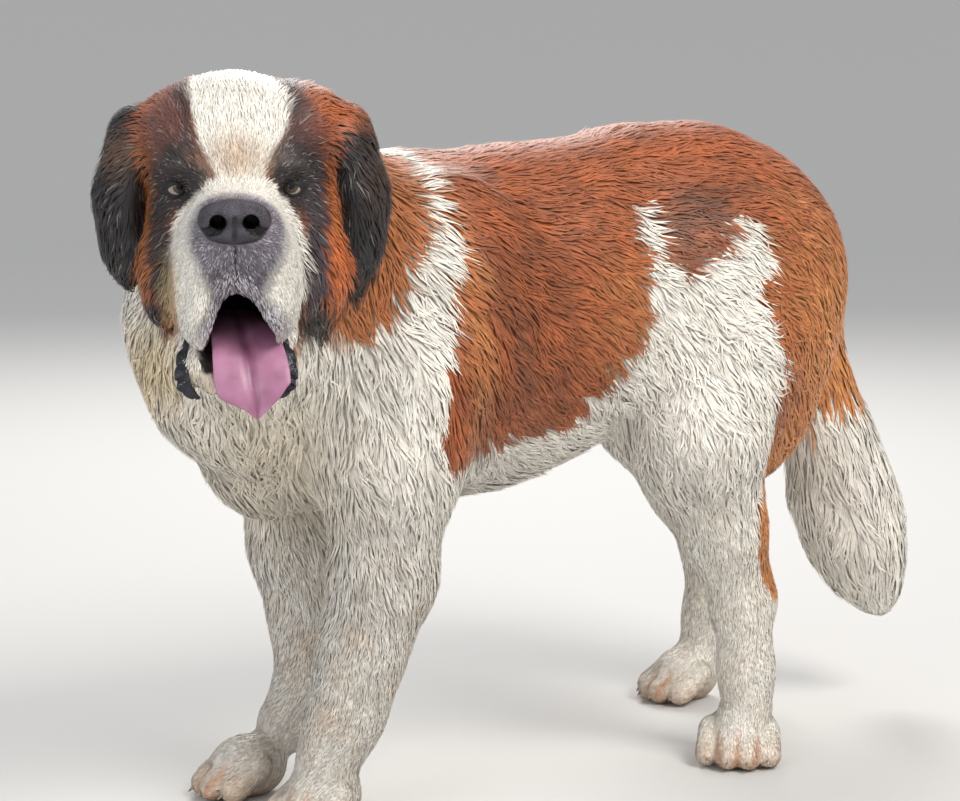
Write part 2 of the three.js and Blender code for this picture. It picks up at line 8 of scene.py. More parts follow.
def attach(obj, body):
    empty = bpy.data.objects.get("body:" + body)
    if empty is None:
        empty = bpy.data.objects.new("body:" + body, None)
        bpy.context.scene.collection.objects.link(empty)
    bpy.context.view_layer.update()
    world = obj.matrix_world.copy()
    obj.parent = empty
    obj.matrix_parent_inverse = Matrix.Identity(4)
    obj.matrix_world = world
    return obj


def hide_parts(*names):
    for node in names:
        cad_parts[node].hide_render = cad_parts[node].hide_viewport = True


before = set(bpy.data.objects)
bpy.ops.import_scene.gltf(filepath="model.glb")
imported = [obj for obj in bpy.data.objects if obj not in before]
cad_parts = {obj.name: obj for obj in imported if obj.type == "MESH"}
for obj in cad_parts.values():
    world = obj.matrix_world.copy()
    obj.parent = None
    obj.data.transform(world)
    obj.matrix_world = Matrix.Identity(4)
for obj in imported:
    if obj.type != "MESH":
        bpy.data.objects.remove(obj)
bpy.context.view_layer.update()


# Camera, floor and lights. The camera stands at the photograph's place and looks down a little.
# The floor is one plain pale sheet, and the light comes from three large soft panels and a pale sky.
# Everything of the dog is worked out in its own millimetres, from the middle line of the body,
# and moved by SHIFT to the frame's origin when a mesh is made.
SHIFT = np.array([-5.034, 38.498, 0.0])
CAMERA_PLACE = np.array([-1960.0, -2694.0, 905.0])
CAMERA_YAW = math.radians(35.0)
CAMERA_DOWN = math.radians(7.563)
CAMERA_LENS = 101.25  # millimetres, on a sensor 36 wide

scene = bpy.context.scene
camera_data = bpy.data.cameras.new("camera")
camera_data.sensor_width = 36.0
camera_data.sensor_fit = "HORIZONTAL"
camera_data.lens = CAMERA_LENS
camera_data.clip_end = 50.0
camera = bpy.data.objects.new("camera", camera_data)
scene.collection.objects.link(camera)
camera.location = (CAMERA_PLACE + SHIFT) * 0.001
looking = Vector((
    math.sin(CAMERA_YAW) * math.cos(CAMERA_DOWN),
    math.cos(CAMERA_YAW) * math.cos(CAMERA_DOWN),
    -math.sin(CAMERA_DOWN),
))
camera.rotation_euler = looking.to_track_quat("-Z", "Y").to_euler()
scene.camera = camera


def panel(name, place, aim, width, height, power, colour):
    """An area light at a place in metres, turned to shine at a point."""
    data = bpy.data.lights.new(name, "AREA")
    data.shape = "RECTANGLE"
    data.size, data.size_y = width, height
    data.energy = power
    data.color = colour
    light = bpy.data.objects.new(name, data)
    scene.collection.objects.link(light)
    light.location = place
    light.rotation_euler = (Vector(aim) - Vector(place)).to_track_quat("-Z", "Y").to_euler()


panel("key_panel", (0.4, -3.3, 3.7), (0.0, 0.0, 0.45), 2.0, 2.0, 168.0, (1.0, 0.97, 0.92))
panel("fill_panel", (-4.0, -1.2, 1.6), (0.0, 0.0, 0.5), 2.4, 2.4, 45.0, (0.95, 0.97, 1.0))
panel("rim_panel", (1.8, 3.0, 3.2), (0.0, 0.0, 0.6), 2.0, 2.0, 120.0, (1.0, 0.98, 0.95))
world = bpy.data.worlds.new("sky")
world.use_nodes = True
world.node_tree.nodes["Background"].inputs["Color"].default_value = (0.86, 0.88, 0.91, 1.0)
world.node_tree.nodes["Background"].inputs["Strength"].default_value = 0.72
scene.world = world
scene.view_settings.view_transform = "Standard"


def grid_quads(rows, around):
    """The faces of rows of points closed around: two neighbours on a row with the same two on the next."""
    i, j = np.meshgrid(np.arange(rows - 1), np.arange(around), indexing="ij")
    k = (j + 1) % around
    corners = [i * around + j, (i + 1) * around + j, (i + 1) * around + k, i * around + k]
    return np.stack(corners, -1).reshape(-1, 4)


def sweep(flat, wide, tall, rings=24, around=96):
    """A round floor whose edge rises as a low wall: height is tall (1 - cos(pi t)) / 2 from flat to wide."""
    t = np.linspace(0, 1, rings)
    r = np.concatenate([[flat * 0.5], flat + (wide - flat) * t])
    height = np.concatenate([[0.0], tall * (1 - np.cos(np.pi * t)) / 2])
    turn = np.linspace(0, 2 * np.pi, around, endpoint=False)
    grid = np.stack([r[:, None] * np.cos(turn), r[:, None] * np.sin(turn), height[:, None] + 0 * turn], -1)
    return grid.reshape(-1, 3), grid_quads(rings + 1, around).tolist() + [list(range(around))]


def plain_finish(name, settings):
    """A material, its node tree and its shader, with the shader's settings by socket name."""
    made = bpy.data.materials.new(name)
    made.use_nodes = True
    shader = made.node_tree.nodes["Principled BSDF"]
    for label, value in settings.items():
        shader.inputs[label].default_value = value
    return made, made.node_tree, shader


floor_points, floor_faces = sweep(9.0, 17.0, 3.6)
floor_mesh = bpy.data.meshes.new("floor")
floor_mesh.from_pydata(floor_points.tolist(), [], floor_faces)
floor_mesh.polygons.foreach_set("use_smooth", [True] * len(floor_faces))
floor = bpy.data.objects.new("floor", floor_mesh)
scene.collection.objects.link(floor)
floor_finish = plain_finish("pale floor", {"Base Color": (0.6, 0.59, 0.575, 1.0), "Roughness": 0.85})[0]
floor_mesh.materials.append(floor_finish)


# The body under its coat. Trunk, neck, legs, paws and tail are rounded masses that melt into each other.
# Each mass is an ellipsoid or a tapered bar, given by its centre or ends, its radii and how far it melts.
# The same masses shape the solids, where they reach the tips of the hair. The skin lies inside them.
CROUP_HEIGHT = 790.0
TRACK_FRONT = 84.0
TRACK_HIND = 145.0
PAW_LENGTH = 124.0


def melt(a, b, blend):
    """Smooth lesser of two distances: the lesser one, less a quarter of blend where the two are equal."""
    h = np.maximum(blend - np.abs(a - b), 0.0) / blend
    return np.minimum(a, b) - h * h * blend * 0.25


def carve(a, b, blend):
    """Smooth cut of the form b out of the form a."""
    return -melt(-a, b, blend)


def ball(centre, radii, blend=40.0, turn=0.0, tip=0.0):
    """An ellipsoid turned about +Z and tipped about its cross axis. Its distance is k0 (k0 - 1) / k1."""
    ct, st = math.cos(math.radians(turn)), math.sin(math.radians(turn))
    cp, sp = math.cos(math.radians(tip)), math.sin(math.radians(tip))
    rx, ry, rz = radii

    def away(x, y, z):
        dx, dy, dz = x - centre[0], y - centre[1], z - centre[2]
        ax = dx * ct + dy * st
        ly = dy * ct - dx * st
        lx = ax * cp + dz * sp
        lz = dz * cp - ax * sp
        k0 = np.sqrt((lx / rx) ** 2 + (ly / ry) ** 2 + (lz / rz) ** 2)
        k1 = np.sqrt((lx / rx**2) ** 2 + (ly / ry**2) ** 2 + (lz / rz**2) ** 2)
        return k0 * (k0 - 1.0) / np.maximum(k1, 1e-9)

    return away, blend, np.array(centre, float), max(radii)


def bar(start, r0, end, r1, blend=30.0, flat=1.0, across=(0, 1, 0)):
    """A bar from start to end: the distance from the line between them, less a radius that runs r0 to r1."""
    a = np.array(start, float)
    ab = np.array(end, float) - a
    side = np.array(across, float) / np.linalg.norm(across)
    long = ab @ ab
    more = 1.0 / flat - 1.0

    def away(x, y, z):
        px, py, pz = x - a[0], y - a[1], z - a[2]
        h = np.clip((px * ab[0] + py * ab[1] + pz * ab[2]) / long, 0.0, 1.0)
        qx, qy, qz = px - ab[0] * h, py - ab[1] * h, pz - ab[2] * h
        s = (qx * side[0] + qy * side[1] + qz * side[2]) * more
        qx, qy, qz = qx + side[0] * s, qy + side[1] * s, qz + side[2] * s
        return np.sqrt(qx * qx + qy * qy + qz * qz) - (r0 + (r1 - r0) * h)

    return away, blend, a + ab / 2, math.sqrt(long) / 2 + max(r0, r1)


def chain(stops, blend=30.0, flat=1.0, across=(0, 1, 0)):
    """Bars end to end through a list of (point, radius)."""
    return [bar(p, r, q, s, blend, flat, across) for (p, r), (q, s) in zip(stops, stops[1:])]


def distance(forms, x, y, z):
    """The distance from a list of forms, each melted into those before it."""
    d = np.full(np.broadcast(x, y, z).shape, 1e4, np.float32)
    for away, blend, _, _ in forms:
        d = melt(d, away(x, y, z), blend)
    return d


trunk_forms = [
    ball((-105, 0, 556), (252, 165, 204), 60),
    ball((80, 0, 600), (230, 150, 176), 80),
    ball((268, 0, CROUP_HEIGHT - 156), (178, 148, 156), 60),
    *chain([((-185, 0, 690), 80), ((-60, 0, 688), 74), ((150, 0, 710), 80), ((250, 0, 708), 80),
            ((350, 0, 690), 72)], 50),
    ball((-245, 0, 508), (150, 140, 158), 50),
]
for s in (-1, 1):
    trunk_forms += [
        ball((-190, s * 105, 575), (112, 68, 180), 50),
        ball((345, s * 72, 590), (100, 80, 135), 50),
    ]
neck_forms = [
    *chain([((-215, 0, 605), 162), ((-320, -8, 632), 150), ((-395, -48, 686), 132),
            ((-440, -105, 735), 110)], 50),
    *chain([((-330, 0, 500), 122), ((-400, -8, 526), 107), ((-450, -72, 590), 108)], 60),
    ball((-448, 0, 557), (78, 80, 106), 50),
    ball((-359, 52, 430), (70, 80, 90), 50),
    ball((-452, 44, 600), (78, 80, 80), 50),
]


def fore_leg(s, arm, elbow, knee, pastern, ankle):
    """A fore leg from shoulder to pastern. s is -1 on the left, and the rest give x at each stop."""
    return chain([
        ((-255, s * 128, 520), 86),
        ((arm, s * 126, 420), 74),
        ((elbow, s * 112, 290), 58),
        ((knee, s * 100, 200), 45),
        ((pastern, s * 90, 130), 38),
        ((ankle, s * 86, 78), 38),
    ], 44)


def hind_leg(s, foot, stifle, hock):
    """A hind leg: thigh, stifle, hock and rear pastern."""
    return [
        ball((stifle[0] + 85, s * 110, 530), (142, 76, 185), 60, 0, 18),
        *chain([
            ((stifle[0] + 52, s * 118, 500), 98),
            (stifle, 84),
            (((stifle[0] + hock[0]) / 2 + 6, (stifle[1] + hock[1]) / 2, 305), 49),
            (hock, 34),
            (((hock[0] + foot[0]) / 2 + 10, (hock[1] + foot[1]) / 2, 120), 29),
            ((foot[0] + 14, foot[1], 70), 32),
        ], 40),
        bar((hock[0] + 2, hock[1], 252), 24, (hock[0] + 22, hock[1], 214), 20, 30),
    ]


PAWS = {
    "fore_left": ((-368, -TRACK_FRONT), 4),
    "fore_right": ((-372, TRACK_FRONT), -6),
    "hind_left": ((219, -TRACK_HIND - 8), 48),
    "hind_right": ((370, TRACK_HIND + 8), -4),
}
TOES = (-1.5, -0.5, 0.5, 1.5)


def on_paw(centre, heading, ahead, aside, up):
    """A point of a paw, ahead and aside of its centre, for a paw that points heading degrees from -X."""
    c, s = math.cos(math.radians(heading)), math.sin(math.radians(heading))
    return (centre[0] - ahead * c - aside * s, centre[1] - ahead * s + aside * c, up)


def toe_reach(t):
    """How far ahead of the paw's centre a toe begins to turn down."""
    return (0.15 if abs(t) > 1 else 0.28) * PAW_LENGTH


def paw(centre, heading):
    """A paw: a heel and four toes with clefts between them."""
    spread = 0.19 * PAW_LENGTH
    heel = ball(on_paw(centre, heading, -0.1 * PAW_LENGTH, 0, 34), (0.4 * PAW_LENGTH, 40, 40), 18, heading)
    toes = [
        bar(
            on_paw(centre, heading, toe_reach(t) - 30, t * spread * 0.95, 40), 19,
            on_paw(centre, heading, toe_reach(t) + 5, t * spread * 1.08, 17), 17, 5,
        )
        for t in TOES
    ]
    return [heel, *toes]


tail_forms = chain([
    ((400, 0, 690), 56), ((448, 0, 610), 42), ((468, 0, 540), 42), ((482, 0, 450), 48), ((504, 0, 375), 64),
    ((526, 0, 305), 76), ((552, 0, 245), 75), ((577, 0, 192), 57), ((597, 0, 150), 30), ((609, 0, 124), 7),
], 26, 0.86)
leg_forms = [
    *fore_leg(-1, -286, -290, -312, -327, -350), *fore_leg(1, -272, -265, -257, -258, -302),
    *hind_leg(-1, (219, -152, 0), (148, -150, 425), (227, -146, 200)),
    *hind_leg(1, (396, 150, 0), (306, 140, 425), (420, 142, 200)),
]
body_forms = trunk_forms + neck_forms + leg_forms + tail_forms
for centre, heading in PAWS.values():
    body_forms += paw(centre, heading)

# The head: a broad domed skull, a short deep muzzle with loose upper lips over an open mouth, and ears that
# hang from thick folds. It has its own axes, from the place between the eyes: ahead along the muzzle, aside
# to the dog's left, and up.
HEAD_PLACE = np.array([-531.0, -200.0, 752.0])
HEAD_YAW, HEAD_PITCH = math.radians(60.0), math.radians(-6.0)
EYE_ASIDE = 60.0
AHEAD = np.array([
    -math.cos(HEAD_YAW) * math.cos(HEAD_PITCH),
    -math.sin(HEAD_YAW) * math.cos(HEAD_PITCH),
    math.sin(HEAD_PITCH),
])
ASIDE = np.array([math.sin(HEAD_YAW), -math.cos(HEAD_YAW), 0.0])
UP = np.cross(AHEAD, ASIDE)
HEAD_AXES = np.stack([AHEAD, ASIDE, UP])


def from_head(points):
    """Points given ahead, aside and up of the place between the eyes, in the dog's millimetres."""
    return HEAD_PLACE + np.asarray(points, float) @ HEAD_AXES


def to_head(points):
    """Points of the dog, ahead, aside and up of the place between the eyes."""
    return (points - HEAD_PLACE) @ HEAD_AXES.T


def both(make):
    """The same forms on both sides of the face."""
    return [form for s in (-1, 1) for form in make(s)]


def ball_pair(centre, radii, blend):
    """The same ellipsoid on both sides of the face."""
    return [ball((centre[0], s * centre[1], centre[2]), radii, blend) for s in (-1, 1)]


skull_forms = [
    ball((-72, 0, 32), (94, 94, 86), 30),
    ball((-72, -52, 50), (66, 46, 50), 26),
    ball((-92, 74, 64), (58, 50, 40), 26),
    *ball_pair((-26, 34, 26), (42, 40, 48), 26),
    *ball_pair((0, 48, 22), (20, 32, 13), 12),
    *ball_pair((-64, 54, -38), (66, 44, 80), 26),
    *ball_pair((-50, 66, -92), (46, 32, 58), 26),
    ball((-44, -79, -110), (40, 28, 54), 20),
    ball((-52, 82, -104), (44, 44, 60), 22),
    ball((42, 0, -26), (72, 46, 34), 34),
    *ball_pair((52, 25, -62), (57, 38, 48), 20),
    *ball_pair((54, 37, -112), (46, 23, 52), 16),
    *ball_pair((14, 47, -100), (52, 24, 58), 24),
]
jaw_forms = [
    *both(lambda s: chain([((-70, s * 46, -112), 30), ((0, s * 44, -158), 22), ((46, s * 44, -184), 17),
                           ((64, s * 22, -196), 12)], 14)),
    bar((64, -22, -196), 12, (64, 22, -196), 12, 14),
    ball((16, 0, -184), (56, 42, 20), 18),
]
mouth_forms = [
    ball((70, 8, -162), (60, 35, 56), 12), ball((6, 0, -140), (74, 36, 24), 16),
    bar((104, 0, -92), 4, (88, 2, -118), 16, 8),
]
socket_forms = ball_pair((14, EYE_ASIDE, -1), (13, 11.5, 9), 4)
furrow_forms = [
    bar((0, 0, 40), 5, (-20, 0, 78), 3, 4),
    bar((113, 0, -40), 2.8, (101, 0, -98), 3.6, 3),
    *both(lambda s: [bar((30, s * 56, 2), 3.0, (-4, s * 84, -62), 3.5, 4)]),
    *both(lambda s: [bar((4, s * 26, 34), 2.5, (-8, s * 60, 48), 2.5, 4)]),
]


def ear_forms(s, out):
    """An ear: a thick fold at the root and a rounded leaf hanging down beside the cheek."""
    return chain([
        ((-86, s * 82, 60), 32), ((-88, s * (112 + out), 36), 42), ((-84, s * (126 + out), -22), 48),
        ((-80, s * (123 + out), -74), 40), ((-76, s * (115 + out), -112), 18),
    ], 24, 0.5, (0.3, s * 0.95, 0.1))


left_ear, right_ear = ear_forms(1, 16), ear_forms(-1, 0)
nose_forms = [
    ball((100, 0, -12), (18, 32, 17), 8),
    *ball_pair((98, 23, -19), (16, 15, 16), 8),
    *ball_pair((100, 13, -31), (13, 15, 11), 8),
    ball((101, 0, -30), (13, 13, 12), 8),
]
nostril_forms = both(lambda s: [
    bar((126, s * 15.5, -20), 8.3, (98, s * 18, -16), 8.0, 3),
    bar((115, s * 19, -26), 5.6, (107, s * 29, -29), 4.4, 4),
    bar((107, s * 29, -29), 4.4, (97, s * 39, -27), 3.0, 4),
])


# The lie of the coat, as a groom would comb it: at each place, which way the hair runs, how long it is,
# how far its tips stand off the skin, how wide a lock is and how much it waves. Places are in the dog's
# millimetres. Each holds for about its reach, and the coat between them is a mixture.
def comb(place, way, reach, length, lift, wide, wave=0.1):
    """One place of the groom's chart."""
    way = np.array(way, float)
    return [*place, *(way / np.linalg.norm(way)), reach, length, lift, wide, wave]


def comb_pair(place, way, *rest):
    """The same place on the left and on the right."""
    return [comb((place[0], s * place[1], place[2]), (way[0], s * way[1], way[2]), *rest) for s in (-1, 1)]


def comb_head(place, way, *rest):
    """A place given on the head's own left side, and the same one mirrored."""
    made = []
    for s in (-1, 1):
        at = from_head((place[0], s * place[1], place[2]))
        to = np.array((way[0], s * way[1], way[2]), float) @ HEAD_AXES
        made.append(comb(at, to, *rest))
    return made


groom = [
    comb((-200, 0, 765), (1, 0, -0.05), 90, 40, 5.3, 1.27),
    comb((0, 0, 770), (1, 0, 0), 110, 38, 7.6, 1.22),
    comb((200, 0, 785), (1, 0, -0.05), 110, 40, 5.3, 1.27),
    comb((380, 0, 745), (0.8, 0, -0.6), 80, 44, 6.3, 1.32, 0.2),
    *comb_pair((-150, 165, 660), (0.85, 0, -0.5), 90, 38, 7.6, 1.22),
    *comb_pair((0, 155, 620), (0.85, 0, -0.5), 100, 38, 7.6, 1.22),
    *comb_pair((150, 150, 660), (0.85, 0, -0.5), 90, 40, 5.3, 1.27, 0.2),
    *comb_pair((-60, 130, 470), (0.75, 0, -0.65), 80, 42, 5.8, 1.32, 0.15),
    *comb_pair((90, 130, 500), (0.7, 0, -0.7), 80, 44, 6.3, 1.32, 0.2),
    *comb_pair((-250, 175, 600), (0.45, 0, -0.9), 80, 42, 6.3, 1.32, 0.15),
    *comb_pair((-265, 190, 480), (0.15, 0, -1), 70, 42, 6.3, 1.32, 0.2),
    comb((-430, 0, 520), (-0.1, 0.1, -1), 90, 52, 8.9, 1.47, 0.35),
    comb((-380, 0, 420), (0.3, 0, -1), 80, 52, 8.4, 1.47, 0.3),
    comb((-500, 40, 590), (-0.2, 0.5, -0.85), 80, 50, 8.9, 1.42, 0.5),
    comb((-360, -170, 560), (0.25, -0.1, -0.95), 80, 50, 7.9, 1.42, 0.25),
    comb((-100, 0, 352), (1, 0, -0.2), 90, 44, 7.4, 1.42, 0.3),
    comb((100, 0, 420), (1, 0, -0.2), 90, 44, 7.4, 1.42, 0.3),
    *comb_pair((-265, 130, 330), (0.15, 0, -1), 60, 26, 6, 1.07, 0.1),
    *comb_pair((-215, 110, 300), (0.5, 0.1, -0.85), 36, 44, 5.8, 1.22, 0.2),
    *comb_pair((-275, 95, 180), (-0.05, 0, -1), 60, 17, 3.4, 0.92, 0.05),
    *comb_pair((-330, 86, 100), (-0.6, 0, -0.8), 45, 13, 2.4, 0.82, 0.05),
    *comb_pair((-380, 84, 50), (-1, 0, -0.4), 45, 10, 1.8, 0.77, 0.05),
    *comb_pair((120, 170, 540), (0.35, 0, -0.95), 70, 42, 7.4, 1.37, 0.6),
    *comb_pair((210, 190, 520), (0.55, 0, -0.8), 70, 44, 7.4, 1.37, 0.7),
    *comb_pair((160, 180, 440), (0.1, 0, -1), 60, 38, 5.8, 1.27, 0.4),
    *comb_pair((300, 165, 640), (0.75, 0, -0.7), 80, 44, 6.3, 1.32, 0.35),
    *comb_pair((410, 120, 600), (0.5, 0, -0.9), 70, 50, 7.9, 1.37, 0.3),
    *comb_pair((370, 120, 480), (0.35, 0, -0.95), 60, 54, 8.9, 1.42, 0.35),
    comb((215, -140, 300), (0.15, 0, -1), 55, 20, 3.8, 0.97, 0.1),
    comb((240, -145, 200), (-0.02, 0, -1), 50, 14, 2.7, 0.87, 0.05),
    comb((232, -150, 110), (-0.1, 0, -1), 45, 12, 2.2, 0.82, 0.05),
    comb((200, -175, 45), (-0.67, -0.74, -0.4), 45, 10, 1.8, 0.77, 0.05),
    comb((370, 140, 300), (0.2, 0, -1), 55, 20, 3.8, 0.97, 0.1),
    comb((425, 142, 200), (-0.05, 0, -1), 50, 14, 2.7, 0.87, 0.05),
    comb((405, 146, 110), (-0.1, 0, -1), 45, 12, 2.2, 0.82, 0.05),
    comb((350, 153, 45), (-1, 0, -0.4), 45, 10, 1.8, 0.77, 0.05),
    comb((440, 0, 664), (1, -0.1, -0.3), 16, 54, 13, 1.3, 0.2),
    comb((450, 0, 640), (0.35, 0, -0.95), 60, 48, 6.8, 1.32, 0.1),
    comb((480, 0, 500), (0.15, 0, -1), 60, 56, 7, 1.6, 0.15),
    *comb_pair((505, 50, 380), (0.2, 0.12, -1), 60, 74, 8, 1.8, 0.15),
    *comb_pair((545, 45, 260), (0.35, 0, -0.95), 60, 84, 8, 1.85, 0.15),
    comb((590, 0, 160), (0.4, -0.02, -0.9), 40, 62, 5, 1.5, 0.05),
    comb((-350, -150, 700), (0.6, -0.15, -0.75), 70, 48, 6.8, 1.37, 0.2),
    comb((-300, -120, 760), (0.85, -0.2, -0.5), 70, 44, 6.3, 1.32, 0.15),
    comb((-360, 90, 740), (0.6, 0.35, -0.7), 80, 48, 6.8, 1.37, 0.2),
    comb((-400, -40, 800), (0.85, 0.35, -0.3), 60, 40, 5.3, 1.27, 0.1),
    *comb_head((80, 26, -14), (-0.8, 0.45, 0.25), 18, 6, 1.2, 0.57),
    *comb_head((108, 22, -78), (-0.05, 0.5, -0.85), 26, 6.5, 1.4, 0.57),
    *comb_head((60, 10, 10), (-0.85, 0.1, 0.5), 24, 7, 1.4, 0.59),
    *comb_head((10, 8, 40), (-0.4, 0.15, 0.9), 26, 12, 2, 0.72),
    *comb_head((-20, 10, 90), (-0.6, 0.2, 0.75), 34, 20, 3, 0.87),
    *comb_head((-80, 20, 122), (-1, 0.2, 0.05), 40, 26, 4.5, 1.02),
    *comb_head((14, 55, 26), (-0.3, 0.75, 0.55), 18, 9, 1.7, 0.67),
    *comb_head((16, 74, 0), (-0.55, 0.8, 0.05), 16, 8, 1.5, 0.62),
    *comb_head((22, 58, -24), (-0.4, 0.7, -0.55), 18, 7.5, 1.5, 0.62),
    *comb_head((-30, 92, 30), (-0.7, 0.6, -0.1), 34, 20, 3.8, 0.92),
    *comb_head((-30, 98, -30), (-0.5, 0.3, -0.75), 34, 24, 4.5, 0.97, 0.1),
    *comb_head((-40, 98, -100), (-0.3, 0.1, -0.95), 36, 32, 6.8, 1.12, 0.2),
    *comb_head((60, 62, -62), (-0.6, 0.3, -0.7), 26, 8, 1.5, 0.62),
    *comb_head((74, 52, -118), (-0.25, 0.15, -0.95), 28, 9, 1.7, 0.65),
    *comb_head((30, 66, -120), (-0.4, 0.15, -0.9), 28, 11, 2, 0.72),
    *comb_head((56, 20, -214), (0.2, 0.2, -0.95), 28, 14, 2.6, 0.82, 0.1),
    *comb_head((-20, 40, -190), (-0.3, 0.1, -0.9), 40, 30, 6.8, 1.07, 0.2),
    *comb_head((-88, 112, 66), (-0.1, 0.7, -0.65), 26, 30, 6.5, 0.92, 0.35),
    *comb_head((-86, 146, 0), (-0.05, 0.2, -1), 34, 34, 6.5, 0.97, 0.4),
    *comb_head((-80, 140, -90), (0, 0.05, -1), 34, 34, 5.5, 0.97, 0.3),
    *comb_head((100, 12, -94), (0.45, -0.1, -0.9), 13, 13, 3.4, 0.6),
    *comb_head((70, 28, -150), (0.1, -0.2, -0.97), 12, 10, 2.5, 0.6),
]
groom = np.array(groom)


def coat_at(points):
    """The groom's chart at each point: a mean of its places, weighted exp(-d^2 / 2 reach^2)."""
    made = np.zeros((len(points), 7))
    for i in range(0, len(points), 40000):
        some = points[i:i + 40000]
        d2 = ((some[:, None, :] - groom[None, :, :3]) ** 2).sum(2)
        weight = np.exp(-d2 / (2 * groom[:, 6] ** 2)) / groom[:, 6] + 1e-9 / (d2 + 1.0)
        weight /= weight.sum(1, keepdims=True)
        made[i:i + 40000] = weight @ groom[:, [3, 4, 5, 7, 8, 9, 10]]
    return made


# The skin: one closed surface for everything that carries hair, with no seam from nose to tail.
# It is the coat's own outline drawn inwards by the depth of the hair, and it is left bare and dark
# at the lips, inside the mouth and round the eyes. Inside the mouth it is painted darker towards the throat,
# and in the nostrils darker still, as painted shade.
def ticks(low, high, fine, step):
    """Places from low to high, step apart, or closer together within the fine spans."""
    made = [low]
    while made[-1] < high:
        near = [closer for a, b, closer in fine if a <= made[-1] < b]
        made.append(made[-1] + (near[0] if near else step))
    return np.array(made, np.float32)


xs = ticks(-690, 672, [(-650, -290, 4.7), (150, 440, 6.0)], 9.4)
ys = ticks(-330, 265, [(-325, -28, 4.7), (28, 212, 6.0)], 9.4)
zs = ticks(-14, 905, [(-14, 80, 5.0), (520, 870, 4.7)], 9.4)


def on_grid(forms, axes=None, place=None):
    """The distance from some forms at every tick, worked out only near each form."""
    values = np.full((len(xs), len(ys), len(zs)), 1e3, np.float32)
    for away, blend, centre, reach in forms:
        middle = centre if axes is None else place + centre @ axes
        room = reach + blend + 45
        span = [slice(*np.searchsorted(t, (m - room, m + room))) for t, m in zip((xs, ys, zs), middle)]
        x, y, z = np.meshgrid(xs[span[0]], ys[span[1]], zs[span[2]], indexing="ij", sparse=True)
        if axes is not None:
            dx, dy, dz = x - place[0], y - place[1], z - place[2]
            x, y, z = [(dx * a[0] + dy * a[1] + dz * a[2]).astype(np.float32) for a in axes]
        part = values[tuple(span)]
        part[...] = melt(part, away(x, y, z).astype(np.float32), blend)
    return values


head_on_grid = dict(axes=HEAD_AXES, place=HEAD_PLACE)
whole = on_grid(body_forms)
skull = carve(on_grid(skull_forms, **head_on_grid), on_grid(socket_forms, **head_on_grid), 6)
whole = melt(whole, skull, 32)
whole = melt(whole, on_grid(left_ear, **head_on_grid), 14)
whole = melt(whole, on_grid(right_ear, **head_on_grid), 14)
whole = melt(whole, on_grid(jaw_forms, **head_on_grid), 8)
close = np.abs(whole) < 42
ix, iy, iz = np.nonzero(close)
skin_depth = np.full(whole.shape, 8.0, np.float32)
skin_depth[close] = coat_at(np.stack([xs[ix], ys[iy], zs[iz]], 1))[:, 4]
field = whole + skin_depth
field = carve(field, on_grid(mouth_forms, **head_on_grid), 6)
field = carve(field, on_grid(furrow_forms, **head_on_grid), 5)
hollow_forms = both(lambda s: [bar((128, s * 16, -20), 12, (96, s * 20, -18), 12, 4)])
field = carve(field, on_grid(hollow_forms, **head_on_grid), 3)
field = np.maximum(field, 1.5 - zs[None, None, :])
del ix, iy, iz, close, whole, skull, skin_depth
slope = np.stack(np.gradient(field, xs, ys, zs), -1).astype(np.float32)


def near(points):
    """The skin's distance and its outward direction at each point, read between the ticks around it."""
    cell, part = [], []
    for axis, t in enumerate((xs, ys, zs)):
        i = np.clip(np.searchsorted(t, points[:, axis]) - 1, 0, len(t) - 2)
        cell.append(i)
        part.append(np.clip((points[:, axis] - t[i]) / (t[i + 1] - t[i]), 0, 1))
    d = np.zeros(len(points))
    g = np.zeros((len(points), 3))
    for corner in range(8):
        at, w = [], 1.0
        for axis in range(3):
            bit = corner >> axis & 1
            at.append(cell[axis] + bit)
            w = w * (part[axis] if bit else 1 - part[axis])
        d += field[at[0], at[1], at[2]] * w
        g += slope[at[0], at[1], at[2]] * w[:, None]
    steep = np.maximum(np.linalg.norm(g, axis=1), 0.05)
    return d / steep, g / steep[:, None]


